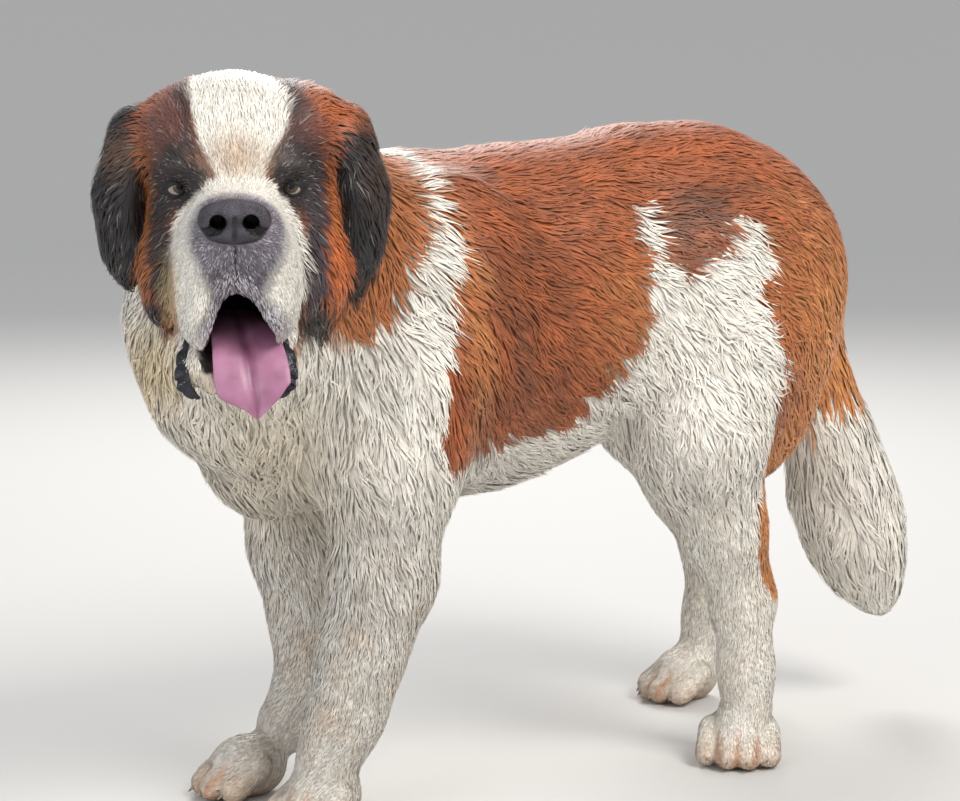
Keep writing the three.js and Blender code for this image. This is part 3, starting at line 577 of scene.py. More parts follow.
def net(values, x, y, z):
    """The surface where values are zero: one point in each cell that it crosses, and four cells to a face."""
    inside = values < 0
    n = [s - 1 for s in values.shape]
    corners = [inside[i:i + n[0], j:j + n[1], k:k + n[2]] for k in (0, 1) for j in (0, 1) for i in (0, 1)]
    count = sum(c.astype(np.int8) for c in corners)
    ci, cj, ck = np.nonzero((count > 0) & (count < 8))
    at = [values[ci + (c & 1), cj + (c >> 1 & 1), ck + (c >> 2)] for c in range(8)]
    total, seen = np.zeros((len(ci), 3)), np.zeros(len(ci))
    for a in range(8):
        for axis in range(3):
            b = a | 1 << axis
            if b == a:
                continue
            cross = (at[a] < 0) != (at[b] < 0)
            t = np.where(cross, at[a] / np.where(cross, at[a] - at[b], 1), 0)
            here = np.array([a & 1, a >> 1 & 1, a >> 2], float)[None, :] + t[:, None] * np.eye(3)[axis]
            total += here * cross[:, None]
            seen += cross
    total /= seen[:, None]
    points = np.stack([
        x[ci] + (x[ci + 1] - x[ci]) * total[:, 0],
        y[cj] + (y[cj + 1] - y[cj]) * total[:, 1],
        z[ck] + (z[ck + 1] - z[ck]) * total[:, 2],
    ], 1)
    number = np.full(n, -1, np.int64)
    number[ci, cj, ck] = np.arange(len(ci))
    faces = []
    for axis in range(3):
        low = [slice(1, s) for s in n]
        high = list(low)
        low[axis], high[axis] = slice(0, n[axis]), slice(1, n[axis] + 1)
        a, b = inside[tuple(low)], inside[tuple(high)]
        i, j, k = np.nonzero(a != b)
        first = a[i, j, k]
        base = [i + (axis != 0), j + (axis != 1), k + (axis != 2)]
        u, v = [(1, 2), (2, 0), (0, 1)][axis]
        ring = []
        for du, dv in ((1, 1), (0, 1), (0, 0), (1, 0)):
            c = list(base)
            c[u] = c[u] - du
            c[v] = c[v] - dv
            ring.append(number[c[0], c[1], c[2]])
        quad = np.stack(ring, 1)
        quad[~first] = quad[~first][:, ::-1]
        faces.append(quad)
    return points, np.concatenate(faces)


def unit(vectors):
    """Vectors made one long."""
    return vectors / np.maximum(np.linalg.norm(vectors, axis=1, keepdims=True), 1e-6)


def paint(r, g, b):
    """A screen colour out of 255 as linear light."""
    c = np.array([r, g, b]) / 255.0
    return np.where(c <= 0.04045, c / 12.92, ((c + 0.055) / 1.055) ** 2.4)


def wobble(points, size, seed):
    """Smooth waves about size long, mostly between -1 and 1: seven sines in seeded directions, over four."""
    rng = np.random.default_rng(seed)
    made = np.zeros(len(points))
    for _ in range(7):
        way = rng.normal(size=3)
        way *= 2 * math.pi / (size * rng.uniform(0.7, 1.5) * np.linalg.norm(way))
        made += np.sin(points @ way + rng.uniform(0, 6.28))
    return made / 4.0


def within(flat, outline, soft):
    """How far inside an outline each flat point is, from 0 to 1 over the soft edge."""
    a = np.array(outline, float)
    b = np.roll(a, -1, 0)
    best = np.full(len(flat), 1e9)
    odd = np.zeros(len(flat), bool)
    for p, q in zip(a, b):
        edge = q - p
        d = flat - p
        h = np.clip((d @ edge) / (edge @ edge), 0, 1)
        best = np.minimum(best, ((d - h[:, None] * edge) ** 2).sum(1))
        crosses = (p[1] > flat[:, 1]) != (q[1] > flat[:, 1])
        rise = np.where(abs(q[1] - p[1]) < 1e-9, 1e-9, q[1] - p[1])
        odd ^= crosses & (flat[:, 0] < (q[0] - p[0]) * (flat[:, 1] - p[1]) / rise + p[0])
    d = np.sqrt(best) * np.where(odd, 1, -1)
    return np.clip(d / (2 * soft) + 0.5, 0, 1)


def spot(flat, centre, radii, turn=0.0, soft=0.25):
    """How far inside a turned ellipse each flat point is, from 0 to 1 over the soft edge."""
    c, s = math.cos(math.radians(turn)), math.sin(math.radians(turn))
    d = flat - np.array(centre, float)
    r = np.hypot((d[:, 0] * c + d[:, 1] * s) / radii[0], (d[:, 1] * c - d[:, 0] * s) / radii[1])
    return np.clip((1 + soft - r) / (2 * soft), 0, 1)


def ramp(v, low, high):
    """How far v has come from low to high, between 0 and 1."""
    return np.clip((v - low) / (high - low), 0, 1)


def over(colour, tint, weight):
    """A tint laid over a colour, by a weight at each point."""
    weight = np.asarray(weight)[:, None]
    return colour * (1 - weight) + tint * weight


def spotted(colour, flat, spots):
    """A colour with soft spots over it, each given by tint, centre, radii, turn, softness and strength."""
    for tint, centre, radii, turn, soft, strength in spots:
        colour = over(colour, tint, spot(flat, centre, radii, turn, soft) * strength)
    return colour


WHITE, CREAM = paint(233, 227, 216), paint(214, 190, 142)
RED, DEEP_RED, PALE_RED = paint(170, 90, 47), paint(106, 62, 38), paint(210, 140, 82)
BLACK, SMOKE, PINK = paint(32, 28, 29), paint(96, 88, 98), paint(150, 92, 96)

# Outlines of the red patches in side view, along and up. The flank in the photograph is the left one.
LEFT_SADDLE = [
    (-215, 900), (-217, 777), (-221, 764), (-234, 738), (-237, 712), (-227, 700), (-233, 659),
    (-248, 612), (-259, 567), (-269, 521), (-264, 478), (-269, 440), (-219, 443), (-154, 445),
    (-106, 452), (-55, 455), (-30, 479), (3, 508), (25, 532), (48, 562), (56, 587), (55, 612),
    (60, 634), (50, 680), (56, 706), (84, 714), (84, 684), (82, 650), (102, 630), (131, 644),
    (169, 663), (187, 686), (204, 700), (221, 690), (227, 666), (236, 642), (204, 618), (209, 590),
    (218, 565), (224, 539), (236, 512), (227, 476), (211, 437), (204, 400), (200, 360), (200, 315),
    (216, 272), (240, 222), (262, 218), (300, 280), (322, 330), (340, 400), (438, 400), (446, 452),
    (700, 462), (700, 900),
]
RIGHT_SADDLE = [
    (-215, 900), (-225, 760), (-240, 700), (-255, 600), (-265, 500), (-240, 450), (-100, 448),
    (20, 470), (90, 520), (150, 560), (230, 580), (300, 540), (340, 470), (380, 400), (438, 400),
    (446, 452), (700, 462), (700, 900),
]
NECK_PATCH = [
    (-241, 775), (-256, 739), (-262, 706), (-288, 675), (-314, 615), (-342, 597), (-380, 589),
    (-430, 604), (-470, 570), (-560, 640), (-520, 880), (-300, 880),
]
FAR_NECK_PATCH = [(-440, 600), (-250, 640), (-245, 880), (-520, 880)]
# Outlines on the face, in the photograph's own frame of 960 by 801: across, and down.
BLAZE = [
    (194, 40), (191, 77), (189, 98), (194, 123), (201, 147), (211, 166), (216, 179), (222, 200),
    (252, 200), (260, 180), (263, 170), (272, 154), (282, 140), (288, 123), (284, 98), (269, 78),
    (262, 40),
]
MUZZLE_BAND = [
    (212, 184), (201, 193), (185, 205), (177, 220), (173, 244), (174, 268), (176, 292), (178, 320),
    (179, 350), (178, 400), (300, 400), (299, 350), (298, 317), (304, 283), (303, 268), (302, 244),
    (296, 220), (286, 200), (272, 187), (262, 180),
]
GREY_FRONT = [
    (197, 204), (206, 196), (238, 193), (270, 196), (281, 206), (286, 225), (284, 245), (278, 262),
    (268, 280), (256, 295), (240, 286), (232, 298), (218, 296), (206, 280), (198, 262), (191, 245),
    (192, 225),
]
# Soft spots on the face and ears, in the same frame: tint, centre, radii, turn, softness and strength.
FACE_SPOTS = [
    (paint(104, 66, 62), (172, 118), (24, 44), 12, 0.5, 0.85),  # temples
    (paint(104, 66, 62), (296, 128), (20, 40), -14, 0.5, 0.85),
    (paint(176, 92, 50), (150, 98), (16, 14), -30, 0.6, 0.8),  # rust where the ears begin
    (paint(178, 92, 46), (330, 100), (26, 20), 25, 0.6, 0.8),
    (BLACK * 1.8, (186, 112), (7, 38), -8, 0.6, 0.7),  # dark edges of the blaze
    (BLACK * 1.6, (286, 100), (11, 34), -14, 0.6, 0.85),
    (BLACK * 1.4, (184, 180), (33, 38), 0, 0.3, 0.96),  # masks round the eyes
    (BLACK * 1.5, (293, 176), (31, 38), 0, 0.3, 0.96),
    (BLACK * 1.5, (164, 238), (12, 62), -2, 0.3, 0.95),  # dark bands down from the masks
    (SMOKE * 0.42, (312, 245), (12, 68), 0, 0.3, 0.95),
    (paint(160, 96, 52), (146, 225), (10, 74), 0, 0.35, 0.9),  # rust cheeks
    (paint(196, 104, 54), (336, 215), (14, 94), 0, 0.3, 0.92),
    (paint(116, 76, 54), (204, 164), (14, 7), 25, 0.6, 0.8),  # brown brows
    (paint(84, 66, 60), (277, 158), (12, 6), -20, 0.6, 0.6),
    (BLACK * 1.4, (149, 307), (15, 18), -10, 0.3, 0.97),  # black at the bottom of the cheeks
    (BLACK * 1.4, (321, 322), (24, 22), 15, 0.3, 0.97),
]
EAR_SPOTS = [
    (paint(112, 82, 62), (125, 148), (14, 20), 0, 0.7, 0.7),
    (paint(140, 78, 42), (348, 102), (20, 20), 0, 0.6, 0.85),
    (paint(96, 70, 54), (372, 160), (14, 34), 0, 0.8, 0.4),
]


def in_frame(points):
    """Where points fall in the photograph's frame: across = 480 + f x / depth, down = 400.5 - f y / depth."""
    ahead = np.array(looking)
    right = np.array([math.cos(CAMERA_YAW), -math.sin(CAMERA_YAW), 0.0])
    above = np.cross(right, ahead)
    away = points - CAMERA_PLACE
    scale = 960 * CAMERA_LENS / 36 / (away @ ahead)
    return np.stack([480 + (away @ right) * scale, 400.5 - (away @ above) * scale], 1)


def in_throat(head):
    """Whether points of the head lie inside the mouth, between the cheeks and behind the lips."""
    ahead, aside, up = head.T
    return (np.abs(aside) < 38) & (ahead > -80) & (ahead < 62) & (up > -188) & (up < -45)


def markings(points):
    """The coat's colour at each point: patches painted one over the other, with ragged edges."""
    head = to_head(points)
    ragged = np.stack([wobble(points, 26, 1), wobble(points, 26, 2)], 1) * 3.0
    ragged += np.stack([wobble(points, 9, 3), wobble(points, 9, 4)], 1) * 2.0
    side = points[:, [0, 2]] + ragged
    in_view = in_frame(points)
    face = in_view + ragged * 0.35
    tone = wobble(points * (1, 1, 0.6), 60, 5)[:, None]
    fleck = wobble(points * (0.6, 1, 1), 22, 6)[:, None]

    def red_at(deep, pale):
        """Red hair, deepened and paled by the amounts given, in clouds."""
        mix = np.clip(0.28 + 0.25 * tone + 0.22 * fleck + np.asarray(deep)[:, None], 0, 1)
        made = RED * (1 - mix) + DEEP_RED * mix
        return over(made, PALE_RED, pale)

    none = np.zeros(len(points))
    left = ramp(-points[:, 1], -12, 12)
    pale = ramp(points[:, 0], 190, 350) * ramp(points[:, 2], 760, 600) * 0.85
    pale = np.maximum(pale, spot(side, (-222, 600), (22, 130), 6, 0.8) * 0.5)
    pale = np.maximum(pale, spot(side, (30, 590), (50, 60), 0, 0.9) * 0.35)
    # Painted shade and highlight in the red: darker clouds above the left thigh and on the lower ribs are
    # painted shade, and the top of the back is painted lighter as a painted highlight.
    deep = spot(side, (130, 682), (70, 40), 20, 0.6) * left * 0.55
    deep += spot(side, (-140, 560), (60, 90), 30, 0.9) * 0.35 - 0.2 * ramp(points[:, 2], 720, 780)
    red = red_at(deep, np.clip(pale + 0.2 * fleck[:, 0] * (pale > 0.05), 0, 1))
    stain = np.clip(0.3 + 0.5 * wobble(points, 50, 7), 0, 1)
    stained = 0.12 + 0.2 * ramp(points[:, 2], 480, 250)
    stained += 0.25 * ramp(points[:, 0], -60, -130) * ramp(points[:, 2], 400, 250)
    white = over(np.tile(WHITE, (len(points), 1)), paint(216, 192, 166), stain * stained)
    white = over(white, CREAM, spot(in_view, (152, 352), (30, 40), 0, 0.6) * 0.8)
    # A cream tint over the middle of the chest, partly the coat's own cream and partly painted shade.
    white = over(white, CREAM, spot(in_view, (270, 445), (75, 60), 30, 0.8) * 0.35)
    # Painted shade: the white is darkened by up to a fifth low on the front of the body and down the fore
    # legs.
    foreleg_shade = ramp(points[:, 2], 520, 300) * ramp(points[:, 0], -60, -130)
    white = white * (1 - 0.2 * foreleg_shade)[:, None]
    soles = ramp(points[:, 2], 50, 12)
    for centre, heading in PAWS.values():
        c, s = math.cos(math.radians(heading)), math.sin(math.radians(heading))
        off = points[:, :2] - np.array(centre)
        ahead, aside = -(off[:, 0] * c + off[:, 1] * s), off[:, 1] * c - off[:, 0] * s
        here = (np.hypot(ahead, aside) < 95) * ramp(points[:, 2], 66, 30) * ramp(ahead, 6, 26)
        spread = 0.19 * PAW_LENGTH
        cleft = sum(np.exp(-((aside - k * spread) / 4.0) ** 2) for k in (-1.0, 0.0, 1.0))
        white = over(white, paint(176, 108, 64), np.clip(cleft, 0, 1) * here * 0.75)
        white = over(white, paint(206, 170, 138), soles * (np.hypot(ahead, aside) < 95) * 0.6)
    saddle = within(side, LEFT_SADDLE, 2) * left + within(side, RIGHT_SADDLE, 2) * (1 - left)
    outer_side = ramp(np.abs(points[:, 1]), 100, 120)
    shank = ramp(points[:, 2], 430, 400) * (points[:, 0] < 430)
    saddle = saddle * (1 - shank * (1 - outer_side))
    body = over(white, red, saddle)
    strip = ramp(points[:, 2], 450, 400) * (points[:, 0] < 430)
    body = over(body, PALE_RED, saddle * strip * 0.8)
    patch = within(side, NECK_PATCH, 3) * ramp(-points[:, 1], 30, 60)
    far_patch = within(points[:, [0, 2]], FAR_NECK_PATCH, 6) * ramp(points[:, 1], 10, 40)
    body = over(body, red_at(none, none + 0.3), np.maximum(patch, far_patch))

    made = spotted(red_at(none + 0.15, none + 0.05), face, FACE_SPOTS)
    front = ramp(head[:, 0], -120, -85)
    blaze = within(face, BLAZE, 2.6) * front
    crown = np.clip((34 - np.abs(head[:, 1])) / 16, 0, 1) * ramp(head[:, 2], 60, 90) * (1 - front)
    nape = spot(in_view, (306, 74), (20, 12), 10, 0.4) * ramp(head[:, 0], -90, -110)
    made = over(made, WHITE, np.maximum(np.maximum(blaze, crown), nape))
    made = over(made, paint(208, 178, 148), spot(face, (237, 163), (22, 20), 0, 0.8) * 0.8)
    made = over(made, WHITE, within(face, MUZZLE_BAND, 2.0) * ramp(head[:, 0], -28, -8))
    made = over(made, CREAM, spot(face, (172, 290), (8, 34), 0, 0.5) * 0.5)
    speck = np.clip(0.5 + 0.5 * wobble(points, 4.5, 8), 0, 1)[:, None]
    grey = paint(112, 103, 119) * (1 - speck) + paint(60, 55, 65) * speck
    made = over(made, grey, within(face, GREY_FRONT, 7) * ramp(head[:, 0], 55, 75) * 0.95)
    lip_split = np.clip(1.8 - np.abs(head[:, 1]), 0, 1) * ramp(head[:, 0], 60, 80) * (head[:, 2] < -30)
    made = over(made, BLACK, lip_split)
    bristle = ramp(distance(mouth_forms, *head.T), 24, 12) * ramp(head[:, 0], 50, 66)
    bristle = bristle * ramp(head[:, 2], -150, -130)
    made = over(made, paint(92, 85, 97), bristle * 0.9)
    made = over(made, paint(214, 200, 178), ramp(head[:, 2], -168, -182))
    for centre, turn in (((179, 190), 10), ((294.5, 187), -10)):
        round_eye = spot(face, centre, (15, 11), turn, 0.4) * ramp(head[:, 0], -30, -10)
        made = over(made, BLACK * 1.1, round_eye)

    near_ears = np.minimum(distance(left_ear, *head.T), distance(right_ear, *head.T))
    skull_near = np.minimum(distance(skull_forms, *head.T), distance(jaw_forms, *head.T))
    ear = ramp(skull_near - near_ears, -4, 6)
    ear_coat = np.tile(BLACK, (len(points), 1)) * (1.15 + 0.6 * fleck)
    ear_coat = spotted(ear_coat, face, EAR_SPOTS)
    trunk_near = distance(neck_forms + trunk_forms, *points.T)
    on_head = ramp(trunk_near - np.minimum(skull_near, near_ears), -8, 8)
    made = over(body, made, on_head)
    return over(made, ear_coat, ear * ramp(trunk_near - near_ears, -6, 4))


def add_mesh(name, points, faces, normals=None, colour=None, extra=()):
    """A piece from points in the dog's millimetres and its faces, with what is known at its points."""
    mesh = bpy.data.meshes.new(name)
    count, size = faces.shape
    mesh.vertices.add(len(points))
    mesh.vertices.foreach_set("co", ((points + SHIFT) * 0.001).astype(np.float32).ravel())
    mesh.loops.add(count * size)
    mesh.loops.foreach_set("vertex_index", faces.astype(np.int32).ravel())
    mesh.polygons.add(count)
    mesh.polygons.foreach_set("loop_start", np.arange(0, count * size, size, dtype=np.int32))
    mesh.polygons.foreach_set("use_smooth", np.ones(count, bool))
    mesh.update(calc_edges=True)
    if colour is not None:
        layer = mesh.color_attributes.new("coat", "FLOAT_COLOR", "POINT")
        rgba = np.ones((len(points), 4), np.float32)
        rgba[:, :3] = colour
        layer.data.foreach_set("color", rgba.ravel())
    for label, kind, values in extra:
        layer = mesh.attributes.new(label, kind, "POINT")
        field_name = "vector" if kind == "FLOAT_VECTOR" else "value"
        layer.data.foreach_set(field_name, values.astype(np.float32).ravel())
    if normals is not None:
        mesh.normals_split_custom_set_from_vertices(normals.astype(np.float32))
    piece = bpy.data.objects.new(name, mesh)
    scene.collection.objects.link(piece)
    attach(piece, "root")
    return piece


def add_node(tree, kind, settings=(), **fields):
    """A shader node, with its own fields and the values of its sockets by name."""
    node = tree.nodes.new(kind)
    for label, value in fields.items():
        setattr(node, label, value)
    for label, value in dict(settings).items():
        node.inputs[label].default_value = value
    return node


def join(tree, *wires):
    """Links, each given as a node, the name of its output, the next node and the name of its input."""
    for source, out_name, target, in_name in wires:
        tree.links.new(source.outputs[out_name], target.inputs[in_name])


skin_points, skin_faces = net(field, xs, ys, zs)
for _ in range(2):
    gap, out = near(skin_points)
    skin_points = skin_points - out * np.clip(gap, -3, 3)[:, None]
skin_points[:, 2] = np.maximum(skin_points[:, 2], 1.2)
skin_out = unit(near(skin_points)[1])
skin_colour = markings(skin_points)
skin_head = to_head(skin_points)
mouth_gap = distance(mouth_forms, *skin_head.T)
lined = np.interp(skin_head[:, 0], (60, 90), (16, 6)) * (skin_head[:, 2] > -185)
in_mouth = (np.clip((lined - mouth_gap) / 4.0, 0, 1) * (np.abs(skin_head[:, 1]) < 44))[:, None]
# Painted shade in the mouth: the pink lining darkens from the lips towards the throat, nearly to black.
mouth_shade_depth = np.clip((80 - skin_head[:, :1]) / 70, 0, 1)
lining = PINK * 0.45 * (1 - mouth_shade_depth) + PINK * 0.06 * mouth_shade_depth
lining = np.where(mouth_gap[:, None] > 2.5, BLACK * 0.8, lining)
in_mouth = np.maximum(in_mouth, in_throat(skin_head)[:, None])
skin_colour = skin_colour * (1 - in_mouth) + lining * in_mouth
# Painted shade in the nostrils: inside the nostril hollows the skin is darkened almost to black.
hollow_shade = np.clip((3 - distance(hollow_forms, *skin_head.T)) / 2, 0, 1)[:, None]
skin_colour = skin_colour * (1 - 0.95 * hollow_shade)
skin = add_mesh("skin", skin_points, skin_faces, skin_out, skin_colour)

skin_finish, tree, skin_shader = plain_finish("skin under the coat", {"Roughness": 0.75})
tint = add_node(tree, "ShaderNodeAttribute", attribute_name="coat")
place = add_node(tree, "ShaderNodeTexCoord")
grain = add_node(tree, "ShaderNodeTexNoise", {"Scale": 900.0})
bump = add_node(tree, "ShaderNodeBump", {"Strength": 0.3, "Distance": 0.0006})
join(
    tree, (place, "Object", grain, "Vector"), (grain, "Fac", bump, "Height"),
    (bump, "Normal", skin_shader, "Normal"), (tint, "Color", skin_shader, "Base Color"),
)
skin.data.materials.append(skin_finish)
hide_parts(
    "trunk", "neck", "head", "lower_jaw", "ear_left", "ear_right", "tail",
    *[f"{part}_{leg}" for part in ("leg", "paw") for leg in PAWS],
)


# The coat: locks of hair rooted all over the skin. Each lock is a thin closed blade with a ridge, widest
# past its root and drawn to a point, that follows the skin in the direction the hair lies. Locks near each
# other lean to the same tip, so the coat breaks into tufts. Face and feet carry the smallest.
COAT_TRIANGLES = 1420000
PIECE_TRIANGLES = 190000
LONG_HAIR = 60.0  # millimetres, past which a lock bends twice
LOCK_TRIANGLES = {"short": 10, "long": 16}
BLADE = ((-1.0, -0.06, -0.2), (1.0, -0.06, 0.2), (0.0, 0.22, 0.0))  # two edges and a ridge: aside, up, lean
rng = np.random.default_rng(7)
a, b, c, e = [skin_points[skin_faces[:, i]] for i in range(4)]
areas = 0.5 * np.linalg.norm(np.cross(c - a, e - b), axis=1)
middles = (a + b + c + e) / 4
chart = coat_at(middles)
shown = middles[:, 2] > 4.0
middle_head = to_head(middles)
by_lips = (np.abs(middle_head[:, 1]) < 42) * (middle_head[:, 2] > -185)
rim = np.interp(middle_head[:, 0], (60, 90), (13, 3)) * by_lips
bare = distance(mouth_forms, *middle_head.T) < np.maximum(rim, 3)
bare |= distance(nose_forms, *middle_head.T) < 0.5
for s in (-1, 1):
    off = (middle_head - (0, s * EYE_ASIDE, -1)) / (40, 9.5, 8)
    bare |= (np.linalg.norm(off, axis=1) < 1.0) & (middle_head[:, 0] > -30)
bare |= in_throat(middle_head)
crowd = np.interp(chart[:, 3], (6, 14, 22, 40, 80), (1.15, 1.1, 0.95, 1.0, 1.35))
crowd = crowd / (chart[:, 3] * chart[:, 5])
wanted = np.where(shown & ~bare, areas * crowd, 0)
each = np.where(chart[:, 3] > LONG_HAIR, LOCK_TRIANGLES["long"], LOCK_TRIANGLES["short"])
wanted *= COAT_TRIANGLES / (wanted * each).sum()
total = np.cumsum(wanted)
count = int(total[-1])
picks = np.searchsorted(total, (np.arange(count) + rng.uniform(0, 1, count)) * (total[-1] / count))
picks = np.clip(picks, 0, len(total) - 1)
u, v = rng.uniform(0, 1, (2, count, 1))
roots = (a[picks] * (1 - u) + b[picks] * u) * (1 - v) + (e[picks] * (1 - u) + c[picks] * u) * v
groomed = coat_at(roots)
out = unit(near(roots)[1])
way = groomed[:, :3]
swirl = np.stack([wobble(roots, 90, 11), wobble(roots, 90, 12), wobble(roots, 90, 13)], 1)
curl = np.stack([wobble(roots, 34, 14), wobble(roots, 34, 15), wobble(roots, 34, 16)], 1)
way = way + swirl * 0.2 + curl * groomed[:, 6:7] * 0.9 + rng.normal(0, 0.09, way.shape)
way -= out * (way * out).sum(1, keepdims=True)
way = unit(way)
length = groomed[:, 3] * rng.uniform(0.72, 1.22, count)
lift = groomed[:, 4] * rng.uniform(0.5, 1.0, count) * np.where(rng.uniform(0, 1, count) < 0.05, 1.5, 1.0)
wide = groomed[:, 5] * rng.uniform(0.8, 1.4, count)
eye_gap = np.full(count, 1e3)
root_head = to_head(roots)
for s in (-1, 1):
    off = (root_head - (0, s * EYE_ASIDE, 0)) / (1, 1, 0.8)
    eye_gap = np.minimum(eye_gap, np.linalg.norm(off, axis=1))
near_eye = np.clip((eye_gap - 8) / 26, 0.32, 1)
length *= near_eye
wide *= 0.6 + 0.4 * near_eye
long_lock = groomed[:, 3] > LONG_HAIR


def rake(start, direction, rise, ahead):
    """The next point of a lock: ahead along the skin, then set at its own height above the skin."""
    point = start + direction * ahead[:, None]
    gap, normal = near(point)
    point = point + normal * (rise - gap)[:, None]
    turned = direction - normal * (direction * normal).sum(1, keepdims=True)
    return point, unit(turned), normal


bend = rng.normal(0, 0.12, (count, 1)) + groomed[:, 6:7] * rng.normal(0, 0.5, (count, 1))
line = [roots - out * 0.8]
normals = [out]
step = length / 3
point, heading_way = roots, way
for stage, share in ((1, 0.42), (2, 0.8), (3, 1.0)):
    turned_way = unit(heading_way + np.cross(out, heading_way) * bend * (stage - 1))
    point, heading_way, normal = rake(point, turned_way, lift * share, step)
    line.append(point)
    normals.append(normal)
leaders = rng.permutation(count)[: count // 8]
tree = KDTree(len(leaders))
for n, i in enumerate(leaders):
    tree.insert(roots[i], n)
tree.balance()
chief = leaders[np.array([tree.find(p)[1] for p in roots])]
pull = 0.5 * np.clip(groomed[:, 3] / 34, 0.3, 1.0)
for stage, share in ((1, 0.15), (2, 0.6), (3, 1.0)):
    toward = line[stage][chief] - line[stage]
    reach = np.linalg.norm(toward, axis=1)
    ease = (pull * share * np.clip(1.6 - reach / (0.8 * length + 6), 0, 1))[:, None]
    line[stage] = line[stage] + toward * ease
root_colour = markings(roots)
grizzled = (rng.uniform(0, 1, count) < 0.10) & (root_head[:, 0] > -50) & (root_colour[:, 0] < 0.2)
root_colour[grizzled] = root_colour[grizzled] * 0.8 + WHITE * 0.14
lip_gap = distance(mouth_forms, *root_head.T)
bristly = np.clip((22 - lip_gap) / 8, 0, 1) * (root_head[:, 0] > 55) * (root_head[:, 2] > -150)
pale = rng.uniform(0, 1, count) < 0.5 * bristly
root_colour[pale] = paint(214, 208, 214)
pepper = within(in_frame(roots), GREY_FRONT, 5) * (root_head[:, 0] > 60)
pale = rng.uniform(0, 1, count) < 0.16 * pepper
root_colour[pale] = root_colour[pale] * 0.6 + paint(206, 200, 210) * 0.4
clump_tone = rng.normal(0, 0.08, count)[chief]
lock_tone = 1 + np.clip(rng.normal(0, 0.09, count) + clump_tone, -0.3, 0.3)
lock_seed = rng.uniform(0, 50, count)

coat_finish, tree, hair_shader = plain_finish("hair of the coat", {
    "Roughness": 0.52, "Sheen Weight": 0.08, "Sheen Roughness": 0.4,
})
tint = add_node(tree, "ShaderNodeAttribute", attribute_name="coat")
strand = add_node(tree, "ShaderNodeAttribute", attribute_name="strand")
streak = add_node(tree, "ShaderNodeTexNoise", {"Scale": 1.0, "Detail": 1.0})
shade = add_node(tree, "ShaderNodeMapRange", {
    "From Min": 0.3, "From Max": 0.7, "To Min": 0.7, "To Max": 1.24,
})
shaded = add_node(tree, "ShaderNodeVectorMath", operation="SCALE")
bump = add_node(tree, "ShaderNodeBump", {"Strength": 0.35, "Distance": 0.0005})
join(
    tree, (strand, "Vector", streak, "Vector"), (streak, "Fac", shade, "Value"),
    (tint, "Color", shaded, 0), (shade, "Result", shaded, "Scale"),
    (shaded, "Vector", hair_shader, "Base Color"), (streak, "Fac", bump, "Height"),
    (bump, "Normal", hair_shader, "Normal"),
)


def add_locks(name, chosen, kind, axis, centre):
    """Locks as blades: rings of two edges and a ridge along the line of each lock, and a point at its end."""
    n = len(chosen)
    # The tone along each lock runs from root to tip: the root is painted darker, as painted shade near the
    # skin, and the tip a little lighter.
    if kind == "long":
        rings = 3
        stops = line
        out_at = normals
        girth, along, light = (0.6, 1.0, 0.72), (0.0, 0.36, 0.72, 1.0), (0.88, 0.97, 1.02, 1.05)
    else:
        rings = 2
        stops = [line[0], (line[1] + line[2]) / 2, line[3]]
        out_at = [normals[0], normals[1], normals[3]]
        girth, along, light = (0.75, 1.0), (0.0, 0.5, 1.0), (0.9, 1.0, 1.05)
    stops = [s[chosen] for s in stops]
    out_at = [unit(s[chosen]) for s in out_at]
    w = wide[chosen, None]
    points, shading, strands, tones, patch = [], [], [], [], []
    seed = lock_seed[chosen]
    for r in range(rings):
        tangent = unit(stops[r + 1] - stops[max(r - 1, 0)])
        side = unit(np.cross(out_at[r], tangent))
        top = np.cross(tangent, side)
        for dx, dz, nx in BLADE:
            points.append(stops[r] + side * w * girth[r] * dx + top * w * girth[r] * dz)
            shading.append(out_at[r] * 0.9 + top * 0.3 + side * nx + tangent * 0.1)
            strands.append(np.stack([dx * w[:, 0] / 0.6 + seed * 7, length[chosen] * along[r] / 9, seed], 1))
            tones.append(np.full((n, 1), light[r]))
            patch.append(np.tile((dx * 0.5, along[r] - 0.5), (n, 1)))
    points.append(stops[-1])
    shading.append(out_at[-1])
    strands.append(np.stack([seed * 7, length[chosen] / 9, seed], 1))
    tones.append(np.full((n, 1), light[-1]))
    patch.append(np.tile((0.0, 0.5), (n, 1)))
    size = rings * 3 + 1
    faces = [(0, 2, 1)]
    for r in range(rings):
        for k in range(3):
            p, q = r * 3 + k, r * 3 + (k + 1) % 3
            faces += [(p, q, p + 3), (q, q + 3, p + 3)] if r < rings - 1 else [(p, q, size - 1)]

    def stack(parts):
        """One array for all locks, from a list with one array for each point of a lock."""
        return np.stack(parts, 1).reshape(n * size, -1)

    all_points = stack(points)
    all_points[:, 2] = np.maximum(all_points[:, 2], 0.4)
    all_faces = (np.arange(n)[:, None, None] * size + np.array(faces)[None]).reshape(-1, 3)
    tone = stack(tones).reshape(n, size, 1) * lock_tone[chosen, None, None]
    colour = (root_colour[chosen][:, None, :] * tone).reshape(-1, 3)
    piece = add_mesh(name, all_points, all_faces, unit(stack(shading)), np.clip(colour, 0, 0.95),
                     [("strand", "FLOAT_VECTOR", stack(strands))])
    rel = (roots[chosen] - centre) @ np.array(axis).T
    turn = np.arctan2(rel[:, 1], rel[:, 0]) / (2 * math.pi) + 0.5
    rise = rel[:, 2] - rel[:, 2].min()
    base = np.stack([turn, rise / max(rise.max(), 1e-6)], 1) * 0.99 + 0.005
    uv = (base[:, None, :] + stack(patch).reshape(n, size, 2) * 0.003).reshape(-1, 2)
    layer = piece.data.uv_layers.new(name="OFBake")
    layer.data.foreach_set("uv", uv[all_faces.ravel()].astype(np.float32).ravel())
    piece.data.materials.append(coat_finish)


